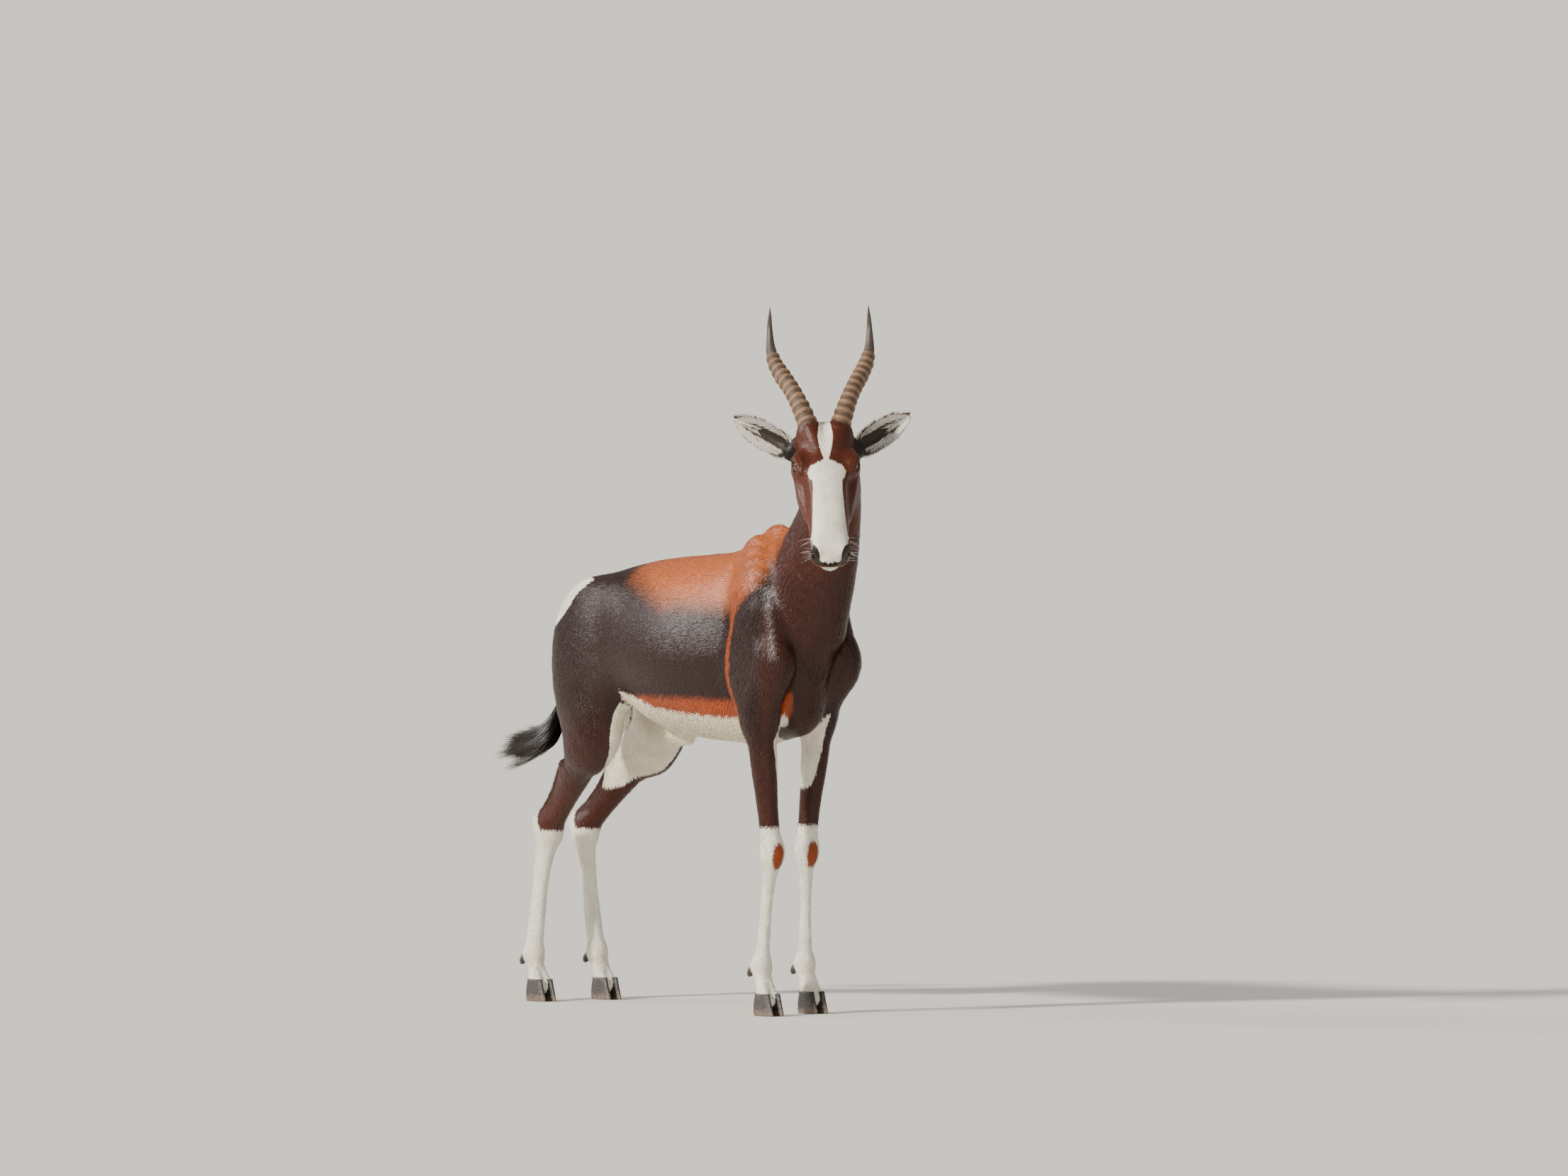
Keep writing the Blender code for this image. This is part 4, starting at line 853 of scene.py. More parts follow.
def ramp(stations, values, x):
    """Straight lines through the values at the stations."""
    return np.interp(x, stations, values)


def spot(p, centre, radii, width):
    """A mark that fills an ellipsoid, with a soft border of this width."""
    return soft((1 - np.linalg.norm((p - centre) / radii, axis=1)) * min(radii), width)


def strongest(*marks):
    """The highest of the marks at each point."""
    return np.maximum.reduce(marks)


def on_head(p):
    """Points given along the face, across the head and up from the brow line."""
    return (p - POLL) @ HEAD_AXES.T


def beside_head(s, place):
    """The point at this place on the head's side s."""
    return at_head(place[0], s * place[1], place[2])


def eye_frame(s):
    """An eye's middle, the way it looks, the way its slit runs, and the way square to both."""
    out = eye_out(s)
    slit = unit(FACE - out * (FACE @ out))
    return beside_head(s, EYE_PLACE), out, slit, np.cross(out, slit)


NECK_ROOT = np.array([0.10, 0, 0.795])
NECK_SLOPE = 0.471
NECK_WAY = np.array([cos(NECK_SLOPE), 0, sin(NECK_SLOPE)])
HEAD_START = -0.06  # along the face
HEAD_LOW = -0.158  # below the brow line
LEG_TOP = 0.46  # height where the legs part from the trunk
MID_BODY = -0.25  # along the body, between fore and hind


def in_head(p, h):
    """Whether each point lies in the head, as the solids are parted."""
    return (h[:, 0] > HEAD_START) & (h[:, 2] > HEAD_LOW) & (p[:, 2] > 0.8)


def part_of(p):
    """Which sub-part each point belongs to, as the solids are parted."""
    x, y, z = p.T
    part = np.full(len(p), "torso", dtype="U14")
    part[(p - NECK_ROOT) @ NECK_WAY > 0] = "neck"
    part[in_head(p, on_head(p))] = "head"
    part[(x < -0.706) & (np.abs(y) < 0.03) & (z > 0.5)] = "tail"
    for side, s in SIDES.items():
        beside, outer = y * s > 0, y * s > 0.030
        fore = outer & (z < 0.548) & (np.abs(x - FORE[side]["elbow"][0] - 0.03) < 0.085)
        part[fore | (beside & (z < LEG_TOP) & (x > -0.1))] = f"foreleg_{side}"
        hind = outer & (z < 0.600) & (x < -0.385)
        part[hind | (beside & (z < LEG_TOP) & (x < -0.1) & (part != "tail"))] = f"hindleg_{side}"
    return part


# The blaze: places along the face, and its half width there
BLAZE = np.array([
    (0.000, 0.0020), (0.010, 0.0065), (0.022, 0.0095), (0.040, 0.0125), (0.060, 0.0142),  # stripe on the brow
    (0.0735, 0.0128), (0.0915, 0.0085), (0.104, 0.0050), (0.1085, 0.0046),  # waist between the eyes
    (0.1125, 0.0140), (0.1188, 0.0300), (0.130, 0.0350), (0.143, 0.0325),  # shoulders of the broad patch
    (0.152, 0.0275), (0.172, 0.0268), (0.210, 0.0285), (0.252, 0.0315),  # its sides
    (0.275, 0.0345), (0.292, 0.0330), (0.302, 0.0250), (0.314, 0.0180),  # round the nostrils
])
NOSTRIL = ((0.280, 0.0335, -0.034), (0.292, 0.0350, -0.043), (0.303, 0.0270, -0.054))


def eye_rim(p, s):
    """The bare dark rim of an eye."""
    eye, out, slit, rise = eye_frame(s)
    q = (p - eye) @ np.array([slit, rise, out]).T
    ring = np.hypot(q[:, 0] / 0.0150, q[:, 1] / 0.0095)
    near = (np.linalg.norm(q, axis=1) < 0.024) & (q[:, 2] > 0)
    return near * np.clip((1.25 - ring) * 3, 0, 1)


def nostril_slot(p, s):
    """The black inside of a nostril."""
    slot = along_head(s, *NOSTRIL)
    marks = []
    for a, b in zip(slot, slot[1:]):
        share = np.clip((p - a) @ (b - a) / ((b - a) @ (b - a)), 0, 1)
        marks.append(soft(0.0042 - np.linalg.norm(p - a - share[:, None] * (b - a), axis=1), 0.003))
    return strongest(*marks)


def face_marks(p, h):
    """White of the blaze and chin, and black of the lips, nostrils and rims of the eyes."""
    along, high = h[:, 0], h[:, 2]
    across = np.abs(h[:, 1])
    beside = across - ramp(*BLAZE.T, along)
    blaze = soft(-beside, 0.004) * soft(along - 0.002, 0.004)
    blaze *= soft(high - ramp([0.26, 0.314], [-0.048, -0.058], along), 0.006)
    chin = soft(along - 0.276, 0.008) * soft(-0.074 - high, 0.006) * 0.85 * soft(0.030 - across, 0.008)
    lip = soft(high + 0.066, 0.006) * soft(-0.054 - high, 0.006) * soft(along - 0.290, 0.006)
    crescent = soft(along - 0.281, 0.004) * soft(beside, 0.003) * soft(high + 0.062, 0.006)
    crescent *= soft(ramp([0.286, 0.294], [0.0045, 0.0075], along) - beside, 0.003)
    white, black = [blaze, chin], [lip * 0.95, crescent]
    for s in SIDES.values():
        white.append(spot(p, at_head(0.081, s * 0.062, -0.034), (0.006, 0.006, 0.004), 0.003))
        black += [eye_rim(p, s), nostril_slot(p, s)]
    face = in_head(p, h)
    return strongest(*white) * face, strongest(*black) * face


def body_white(p, n, part):
    """White of the body, with the parts of it whose hair is longer or creamier."""
    x, y, z = p.T
    fore, hind = x > MID_BODY, x <= MID_BODY
    outward = n[:, 1] * np.sign(y)
    stocking = soft(0.352 - z, 0.018) * fore
    sock_edge = np.full(len(p), 0.335)
    armpits = []
    for side, s in SIDES.items():
        behind = HIND[side]["hock"][0] - 0.004 - x
        sock_edge = np.where(y * s > 0, 0.333 + np.clip(behind * 1.2, -0.012, 0.036), sock_edge)
        pit = np.array(FORE[side]["elbow"]) + (0.030, -s * 0.030, 0.004)
        armpits.append(spot(p, pit, (0.024, 0.014, 0.024), 0.006))
    sock = soft(sock_edge - z, 0.014) * hind * (part != "tail")

    reach = ramp([0.375, 0.405, 0.45, 0.50, 0.56, 0.62], [-1.5, -0.85, -0.35, 0.00, 0.15, 0.10], z)
    reach += 0.55 * np.clip(n[:, 0], 0, 1) * soft(z - 0.43, 0.06) - 0.6 * np.clip(-n[:, 0] - 0.3, 0, 1)
    thigh = soft((reach - outward) * 0.04, 0.010) * soft(0.605 - z, 0.02) * (x < -0.36) * (x > -0.70)
    inner_arm = ramp([0.405, 0.43, 0.50, 0.56], [-1.4, -0.75, -0.25, -0.20], z)
    inner_arm = soft((inner_arm - outward) * 0.03, 0.008) * fore * (z < 0.56) * (x < 0.1) * (z > 0.38)

    belly_edge = ramp([-0.45, -0.30, -0.266, -0.12, 0.03], [0.600, 0.578, 0.565, 0.553, 0.553], x)
    under = soft(0.030 - x, 0.04) * soft(x + 0.45, 0.03) * (part == "torso")
    belly = soft(belly_edge - z, 0.012) * under
    belly = strongest(belly, soft(-0.75 - n[:, 2], 0.3) * under * (z < 0.60))

    rump = spot(p, (-0.690, 0, 0.738), (0.100, 0.070, 0.064), 0.008)
    heights = [0.700, 0.711, 0.730, 0.749, 0.769, 0.791, 0.800]
    edge = ramp(heights, [-0.425, -0.408, -0.395, -0.383, -0.369, -0.341, -0.345], z)
    croup = soft(edge - 0.53 * x + 0.848 * np.abs(y), 0.008) * (x < -0.50)
    croup *= soft(z - 0.698, 0.01) * soft(0.800 - z, 0.01)
    white = strongest(stocking, sock, thigh, inner_arm, belly, rump, croup, *armpits)
    return white, belly, thigh, inner_arm, strongest(*armpits)


def leg_spots(p):
    """Rust: the flare above each armpit, the oval on each carpus, and the lines of the shins."""
    flare, oval, shin = [], [], []
    for side, s in SIDES.items():
        elbow, knee, fetlock = [np.array(FORE[side][name]) for name in ("elbow", "knee", "fetlock")]
        flare.append(spot(p, elbow + (0.036, -s * 0.028, 0.044), (0.024, 0.018, 0.044), 0.010))
        oval.append(0.85 * spot(p, knee + (0.022, 0, -0.008), (0.022, 0.0125, 0.028), 0.012))
        shin.append(0.50 * spot(p, fetlock + (0.030, 0, 0.045), (0.024, 0.010, 0.060), 0.016))
        for leg in (FORE[side], HIND[side]):
            front = np.array(leg["fetlock"]) + (0.020, 0, -0.012)
            shin.append(0.40 * spot(p, front, (0.016, 0.012, 0.020), 0.014))
    return strongest(*flare), strongest(*oval), strongest(*shin)


def flank_rust(p, part):
    """Rust of the band above the belly and of the line behind each shoulder."""
    x, y, z = p.T
    torso = part == "torso"
    marks = [soft(0.584 - z, 0.026) * soft(x + 0.32, 0.03) * soft(0.02 - x, 0.02) * torso]
    wide = ramp([0.55, 0.60, 0.70, 0.78], [0.010, 0.007, 0.008, 0.022], z)
    for side, s in SIDES.items():
        curve = ramp([0.54, 0.58, 0.62, 0.74, 0.78], [0.044, 0.014, -0.004, 0.000, 0.004], z)
        curve += FORE[side]["elbow"][0] - 0.068
        beside = (y * s > 0.03) & (z > 0.54) & (z < 0.79) & torso
        marks.append(soft(wide - np.abs(x - curve), 0.007) * beside)
    return strongest(*marks)


def saddle(p):
    """The copper saddle from the withers to the loin."""
    x, _, z = p.T
    low = ramp([-0.56, -0.46, -0.40, -0.244, 0.02, 0.08], [0.880, 0.850, 0.805, 0.756, 0.758, 0.790], x)
    front = ramp([0.74, 0.75, 0.80, 0.92], [-0.010, 0.000, 0.066, 0.082], z)
    return np.minimum(soft(z - low, 0.070), soft(front - x, 0.060))


def plum_gloss(p, n, part, chest):
    """The dark gloss of flank, haunch and shoulder."""
    x, y, z = p.T
    outward = n[:, 1] * np.sign(y)
    depth = ramp([0.36, 0.50, 0.60], [0.45, 0.62, 0.95], z) * soft(0.115 - x, 0.05)
    depth *= 1 - 0.35 * soft(-0.60 - x, 0.10) * soft(outward - 0.2, 0.6)
    return strongest(np.where(part == "neck", 0.40, depth), chest * 0.55)


def markings(p, n):
    """The marks of points with the given outward directions."""
    x, _, z = p.T
    h = on_head(p)
    face = in_head(p, h)
    body = ~face
    part = part_of(p)
    trunk = (part == "torso") | (part == "neck")
    face_white, face_black = face_marks(p, h)
    white, belly, thigh, inner_arm, armpits = body_white(p, n, part)
    flare, oval, shin = leg_spots(p)
    rust = strongest(flank_rust(p, part), flare, oval, shin * 0.9) * body
    white = white * (1 - strongest(oval, shin, flare * (1 - armpits)))
    white = np.where(body, white, face_white)

    chest = soft(x - 0.085, 0.05) * soft(0.86 - z, 0.10) * soft(z - 0.50, 0.04) * body
    russet = np.where(face, ramp([0.0, 0.12, 0.22, 0.30], [0.10, 0.22, 0.38, 0.85], h[:, 0]), 0.0)
    russet = np.where(part == "neck", 0.08, russet)
    leg_russet = ramp([0.30, 0.50, 0.56], [0.20, 0.15, 0.08], z) * np.where(x > MID_BODY, 0.5, 1.0)
    russet = np.where(body & (z < 0.56) & (z > 0.3), leg_russet, russet)
    tail = soft(0.665 - z, 0.03) * (part == "tail")
    roots = [beside_head(s, EAR_ROOT) for s in SIDES.values()]
    ears = [0.85 * soft(0.026 - np.linalg.norm(p - root, axis=1), 0.016) for root in roots]
    # Part of the black is painted shade: the chest is painted darker where it faces down, as shade under the
    # body.
    black = strongest(face_black, tail, *ears, 0.25 * chest * soft(-0.1 - n[:, 2] + 0.3, 0.8))
    white = np.where(face_black > 0.3, white * (1 - face_black), white)
    wool = belly * body
    return {
        "white": white,
        "copper": saddle(p) * trunk,
        "rust": rust,
        "plum": plum_gloss(p, n, part, chest) * body,
        "russet": russet,
        "black": black,
        "cream": np.clip(0.10 + 0.75 * wool + 0.45 * thigh + 0.25 * inner_arm, 0, 1),
        "wool": wool,
    }


# Skin


def coat_depth(p):
    """How far the skin lies inside the solids: the depth of the coat over it."""
    h = on_head(p)
    face = (h[:, 0] > -0.04) & (h[:, 2] > -0.15) & (p[:, 2] > 0.8)
    depth = 0.0020 - 0.0008 * soft(0.50 - p[:, 2], 0.10)
    return np.where(face, 0.0009 + 0.0006 * soft(0.03 - h[:, 0], 0.08), depth)


# The lids and the folds above and below an eye. Each has its points as angles round the eye, its
# reach along and across the slit, its height over the eyeball, its radii and its blend
LID_FOLDS = [
    ((2, 40, 75, 110, 145, 178), 0.95, 0.60, 0.0006, (0.0012, 0.0019, 0.0021, 0.0021, 0.0018, 0.0012), 0.002),
    ((182, 220, 270, 320, 358), 0.95, 0.58, 0.0002, (0.0011, 0.0015, 0.0016, 0.0015, 0.0011), 0.002),
    ((20, 60, 100, 140, 170), 1.25, 1.22, 0.0040, (0.0010, 0.0022, 0.0026, 0.0022, 0.0010), 0.006),
    ((200, 240, 280, 320, 345), 1.25, 1.35, 0.0010, (0.0008, 0.0014, 0.0018, 0.0014, 0.0008), 0.005),
]


def lid_forms():
    """Rims round each eye, and the folds above and below it."""
    forms = []
    for s in SIDES.values():
        eye, out, slit, rise = eye_frame(s)
        rise = rise if rise @ BROW > 0 else -rise
        for angles, wide, high, over, radii, blend in LID_FOLDS:
            ways = [out + slit * wide * cos(a) + rise * high * sin(a) for a in np.radians(angles)]
            path = [eye + unit(way) * (EYE_RADIUS + over) for way in ways]
            forms.append(tube(path, radii, radii, blend=blend))
    return forms


LIDS = lid_forms()
LID_NEAR = 0.02  # a lid is asked for points within this of its ball


def skin_distance(p):
    """The distance to the skin: the flesh less the depth of the coat, with its lids and folds."""
    d = flesh(p) + coat_depth(p)
    for form in LIDS:
        near = np.linalg.norm(p - form.centre, axis=1) < form.reach + LID_NEAR
        if near.any():
            d[near] = smooth_min(d[near], form.distance(p[near]), form.blend)
    return d


COARSE = 0.020  # spacing of the points that tell whether the surface is near
COARSE_SPAN = 1000  # more than the coarse points along any axis


def sparse(distance, reach):
    """The distance function, worked out in full only near the surface."""

    def near_surface(grid):
        coarse = np.round(grid / COARSE).astype(np.int64) + COARSE_SPAN // 2
        number = (coarse[:, 0] * COARSE_SPAN + coarse[:, 1]) * COARSE_SPAN + coarse[:, 2]
        _, first, back = np.unique(number, return_index=True, return_inverse=True)
        d = distance((coarse[first] - COARSE_SPAN // 2) * COARSE)[back.ravel()]
        close = np.abs(d) < reach
        d[close] = distance(grid[close])
        return d

    return near_surface


def finer(obj, zones):
    """Splits the faces inside each zone in four, and sets every new point on the skin."""
    bm = bmesh.new()
    bm.from_mesh(obj.data)
    for centre, reach in zones:
        middle = Vector(centre + PLACE)
        chosen = {v for v in bm.verts if (v.co - middle).length < reach}
        edges = [e for e in bm.edges if e.verts[0] in chosen and e.verts[1] in chosen]
        bmesh.ops.subdivide_edges(bm, edges=edges, cuts=1, use_grid_fill=True)
        close = [v for v in bm.verts if (v.co - middle).length < reach * 1.2]
        points = np.array([v.co for v in close], float) - PLACE
        for vert, point in zip(close, settled_points(points) + PLACE):
            vert.co = point
    bm.to_mesh(obj.data)
    bm.free()
    obj.data.shade_smooth()


def settled_points(p, rounds=2):
    """Moves points onto the skin, along the slope of the distance."""
    step, furthest = 0.0004, 0.003
    for _ in range(rounds):
        slope = np.stack([(skin_distance(p + axis * step) - skin_distance(p - axis * step)) / (2 * step)
                          for axis in np.eye(3)], axis=1)
        steep = np.maximum((slope * slope).sum(axis=1), 0.3)
        p = p - np.clip(skin_distance(p) / steep, -furthest, furthest)[:, None] * slope
    return p


def build_skin(coat):
    """The whole skin, finest at the eyes, nose and ears."""
    low, high = (-0.81, -0.17, -0.02), (0.51, 0.17, 1.22)
    points, quads = surface_nets(sparse(skin_distance, 0.045), low, high, coat.cell)
    skin = add_mesh("skin", points, [quads], hide_finish(coat))
    head, brow, nose = at_head(0.15, 0, -0.06), at_head(0.10, 0, -0.03), at_head(0.283, 0, -0.055)
    eyes = [(beside_head(s, EYE_PLACE), 0.030) for s in SIDES.values()]
    finer(skin, [(head, 0.225), (brow, 0.110), (nose, 0.060), *eyes])
    marks = markings(mesh_points(skin.data), mesh_normals(skin.data))
    marks["tone"] = np.full(len(marks["white"]), 0.5)
    store(skin.data, marks)
    return joined_objects([skin] + [ear_shell(s, ear_finish(coat)) for s in SIDES.values()])


# Coat


def middle_lines():
    """The middle line of each sub-part, which its unwrap goes round."""
    lines = {
        "torso": [(-0.74, 0, 0.68), (0.16, 0, 0.66)],
        "neck": [(0.03, 0, 0.715), (0.095, 0, 0.81), (0.152, 0, 0.905), (0.198, -0.014, 1.0),
                 (0.235, -0.036, 1.09)],
        "head": [at_head(-0.07, 0, -0.06), at_head(0.325, 0, -0.056)],
        "tail": TAIL_BONES,
    }
    for side, s in SIDES.items():
        fore = {name: np.array(place) for name, place in FORE[side].items()}
        hind = {name: np.array(place) for name, place in HIND[side].items()}
        arm, thigh = fore["elbow"] + (0, 0, 0.06), (-0.56, s * 0.08, 0.64)
        stifle = hind["stifle"] + (-0.045, 0, -0.02)
        fore_sole, hind_sole = [leg["toe"] - (0, 0, 0.026) for leg in (fore, hind)]
        lines[f"foreleg_{side}"] = [arm, fore["knee"], fore["fetlock"], fore_sole]
        lines[f"hindleg_{side}"] = [thigh, stifle, hind["hock"], hind["fetlock"], hind_sole]
    return {name: np.array(line) for name, line in lines.items()}


def unwrapped(p, line):
    """Each point's place on the unwrap: how far round the line, and how far along it."""
    lengths = np.linalg.norm(np.diff(line, axis=0), axis=1)
    starts = np.concatenate([[0], np.cumsum(lengths)])
    best = np.full(len(p), np.inf)
    around, along = np.zeros(len(p)), np.zeros(len(p))
    for i, (a, b) in enumerate(zip(line, line[1:])):
        run = unit(b - a)
        share = np.clip((p - a) @ run, 0, lengths[i])
        off = p - a - share[:, None] * run
        away = np.linalg.norm(off, axis=1)
        side = unit(LEFT - run * (LEFT @ run))
        angle = np.arctan2(off @ np.cross(run, side), off @ side)
        nearer = away < best
        around[nearer] = angle[nearer]
        along[nearer] = (starts[i] + share)[nearer]
        best[nearer] = away[nearer]
    return np.stack([0.02 + 0.95 * (around / (2 * pi) + 0.5), 0.02 + 0.95 * along / starts[-1]], axis=1)


BAKE_PATCH = 0.003  # side of the square that a tuft takes on the unwrap


def add_bake_map(obj, faces, uv, patch):
    """The unwrap: each tuft has a small square of its own, round its place."""
    layer = obj.data.uv_layers.new(name="OFBake")
    spread = (uv[:, None, :] + (patch - 0.5) * BAKE_PATCH).reshape(-1, 2)
    layer.uv.foreach_set("vector", spread[faces.ravel()].astype(np.float32).ravel())


def lie_of_hair(p, part):
    """Which way the hair lies: from nose to tail, and down the legs."""
    x, y, z = p.T
    down = np.array([-0.10, 0, -1.0])
    back = np.array([-1.0, 0, -0.20])
    legs = soft(0.57 - z, 0.10) * (np.abs(y) > 0.03)
    shoulder = soft(x + 0.03, 0.12) * soft(0.90 - z, 0.1)
    haunch = soft(-0.53 - x, 0.12)
    lie = back + (haunch * 0.9 + shoulder * 1.6)[:, None] * np.array([0.2, 0, -1.0])
    lie = units(lie) * (1 - legs)[:, None] + down * legs[:, None]
    lie[part == "neck"] = (-0.42, 0, -0.90)
    lie[part == "head"] = -FACE
    lie[part == "tail"] = (-0.25, 0, -1.0)
    return units(lie)


def hair_size(p, wool, part):
    """Length and width of the hair at each root."""
    z = p[:, 2]
    length = np.full(len(p), 0.0105)
    width = np.full(len(p), 0.0018)
    head = part == "head"
    along = on_head(p)[head, 0]
    length[head] = ramp([0.0, 0.08, 0.20, 0.31], [0.0080, 0.0058, 0.0044, 0.0028], along)
    width[head] = ramp([0.0, 0.10, 0.31], [0.0010, 0.0008, 0.0006], along)
    legs = np.char.find(part, "leg") > 0
    length[legs] = ramp([0.03, 0.10, 0.35, 0.60], [0.0060, 0.0062, 0.0066, 0.0100], z[legs])
    width[legs] = ramp([0.03, 0.30, 0.60], [0.0009, 0.0010, 0.0014], z[legs])
    length += wool * 0.0035
    width -= wool * 0.0003
    length[part == "tail"] = 0.014
    return length, width


def scattered(skin, count, rng):
    """Roots spread over the skin, closer where the hair is smaller."""
    mesh = skin.data
    points, normals = mesh_points(mesh), mesh_normals(mesh)
    mesh.calc_loop_triangles()
    tris = np.zeros(len(mesh.loop_triangles) * 3, np.int32)
    mesh.loop_triangles.foreach_get("vertices", tris)
    tris = tris.reshape(-1, 3)
    corners = points[tris]
    area = np.linalg.norm(np.cross(corners[:, 1] - corners[:, 0], corners[:, 2] - corners[:, 0]), axis=1) / 2
    middle = corners.mean(axis=1)
    length, width = hair_size(middle, np.zeros(len(middle)), part_of(middle))
    weight = area / (length * width)
    weight[middle[:, 2] < CORONET - 0.004] = 0
    chosen = rng.choice(len(tris), count, p=weight / weight.sum())
    u, v = rng.random((2, count))
    over = u + v > 1
    u[over], v[over] = 1 - u[over], 1 - v[over]
    share = np.stack([1 - u - v, u, v], axis=1)[:, :, None]
    return (corners[chosen] * share).sum(axis=1), units((normals[tris[chosen]] * share).sum(axis=1))


def tuft_mesh(name, hairs, marks, uv, material, rng):
    """Flat tapering tufts: two corners at the root, two half way, one at the tip.

    Their normals follow the body's, so that the coat shades as one surface.
    """
    root, normal, along = hairs["root"], hairs["normal"], hairs["along"]
    length, width, lift = [hairs[key][:, None] for key in ("length", "width", "lift")]
    side = units(np.cross(normal, along))
    half = side * width / 2
    low = root - normal * 0.0006
    knee = root + along * length * 0.52 + normal * lift * 0.80
    tip = root + along * length + normal * lift
    points = np.stack([low - half, low + half, knee - half * 0.75, knee + half * 0.75, tip], axis=1)
    first = np.arange(len(root))[:, None] * 5
    faces = np.concatenate([first + (0, 3, 1), first + (0, 2, 3), first + (2, 4, 3)])
    obj = add_mesh(name, points.reshape(-1, 3), [faces], material)
    store(obj.data, {key: np.repeat(value, 5) for key, value in marks.items()})
    lean = units(normal + side * rng.normal(0, 0.06, (len(root), 1)) + along * 0.10)
    obj.data.normals_split_custom_set_from_vertices(np.repeat(lean, 5, axis=0))
    add_bake_map(obj, faces, uv, np.array([(0, 0), (1, 0), (0.1, 0.5), (0.9, 0.5), (0.5, 1)]))
    return obj


def piece_of(root, h, part):
    """Which piece of the coat each root belongs to: the torso is in four, and the head in three."""
    end = np.where(root[:, 0] > -0.27, "front_", "rear_")
    quarter = np.char.add(end, np.where(root[:, 1] > 0, "left", "right"))
    piece = np.where(part == "torso", quarter, part)
    third = np.select([h[:, 0] > 0.17, h[:, 1] > 0], ["nose", "head_left"], "head_right")
    return np.where(part == "head", third, piece)


def bare_places(root, h, part, black):
    """Where no hair grows: eyes, seats of the horns, lips and nostrils."""
    bare = (part == "head") & (black > 0.6) & (h[:, 0] > 0.26)
    for s in SIDES.values():
        bare |= np.linalg.norm(root - beside_head(s, EYE_PLACE), axis=1) < EYE_RADIUS + 0.0012
        bare |= np.linalg.norm(root - beside_head(s, HORN_SEAT) - UP * 0.006, axis=1) < 0.014
    return bare


def build_coat(skin, coat):
    """Tufts over the whole skin, in a piece for each sub-part."""
    rng = np.random.default_rng(41)
    root, normal = scattered(skin, coat.tufts, rng)
    part = part_of(root)
    marks = markings(root, normal)
    marks["tone"] = rng.random(len(root))
    h = on_head(root)
    bare = bare_places(root, h, part, marks["black"])
    length, width = hair_size(root, marks["wool"], part)
    length *= rng.uniform(0.75, 1.2, len(root))
    along = lie_of_hair(root, part)
    along = units(along - normal * (along * normal).sum(axis=1)[:, None])
    turn = rng.normal(0, 0.08, len(root)) + marks["wool"] * rng.normal(0, 0.9, len(root))
    along = along * np.cos(turn)[:, None] + np.cross(normal, along) * np.sin(turn)[:, None]
    lift = coat_depth(root) + 0.0002 + marks["wool"] * 0.0022
    lift *= rng.uniform(0.45, 0.85, len(root))
    hairs = {"root": root, "normal": normal, "along": along, "length": length, "width": width, "lift": lift}
    piece = piece_of(root, h, part)
    lines = middle_lines()
    material = hair_finish(coat)
    pieces = []
    for name in np.unique(piece):
        these = (piece == name) & ~bare
        kept_hairs = {key: value[these] for key, value in hairs.items()}
        kept_marks = {key: value[these] for key, value in marks.items()}
        uv = unwrapped(root[these], lines[part[these][0]])
        pieces.append(tuft_mesh(f"coat_{name}", kept_hairs, kept_marks, uv, material, rng))
    return pieces


# Ears


EAR_LENGTH = 0.126
EAR_THICKNESS = 0.0028


def ear_axes(s):
    """Along the ear, across it, and out of its back."""
    along = unit(ACROSS * s * 0.80 + CROWN * 0.48 - AHEAD * 0.30)
    back = -unit(AHEAD * 0.90 + ACROSS * s * 0.32 - CROWN * 0.05)
    back = unit(back - along * (back @ along))
    return along, np.cross(along, back), back


def ear_place(s, share, turn, depth=0.0):
    """Points on the ear: share of its length, turn from -1 to 1 across its cup, depth into it."""
    along, wide, back = ear_axes(s)
    root = beside_head(s, EAR_ROOT)
    stations = [0, 0.16, 0.42, 0.60, 0.80, 0.92, 1.0]
    half = smooth_curve(stations, [0.0150, 0.0215, 0.0265, 0.0258, 0.0190, 0.0110, 0.0022], share)
    bend = np.radians(smooth_curve([0, 0.10, 0.30, 0.60, 1.0], [152, 125, 88, 62, 40], share))
    radius = half / np.where(bend > pi / 2, 1, np.sin(bend))
    rim = root + np.outer(share, along) * EAR_LENGTH
    rim += np.outer(radius * np.cos(bend) * (1 - share) ** 2, back)
    angle = bend * turn
    r = np.maximum(radius - depth, radius * 0.25)
    return rim + np.outer(r * np.sin(angle), wide) + np.outer(r * np.cos(angle) - radius * np.cos(bend), back)


def ear_streaks(share, turn):
    """Dark lines of hair inside the ear, fanning from its base, with the cup darker in its middle and at its
    base.
    """
    hollow = soft(0.34 - np.hypot((share - 0.34) * 1.3, (turn + 0.05) * 0.75), 0.12) * 0.8
    marks = [hollow, soft(0.14 - share, 0.12)]
    for place, wide in ((-0.42, 0.17), (-0.05, 0.20), (0.36, 0.17)):
        centre = place * (0.5 + 0.7 * share)
        marks.append(soft(wide * (1 - 0.9 * share) - np.abs(turn - centre), 0.10) * (share < 0.84))
    return strongest(*marks)


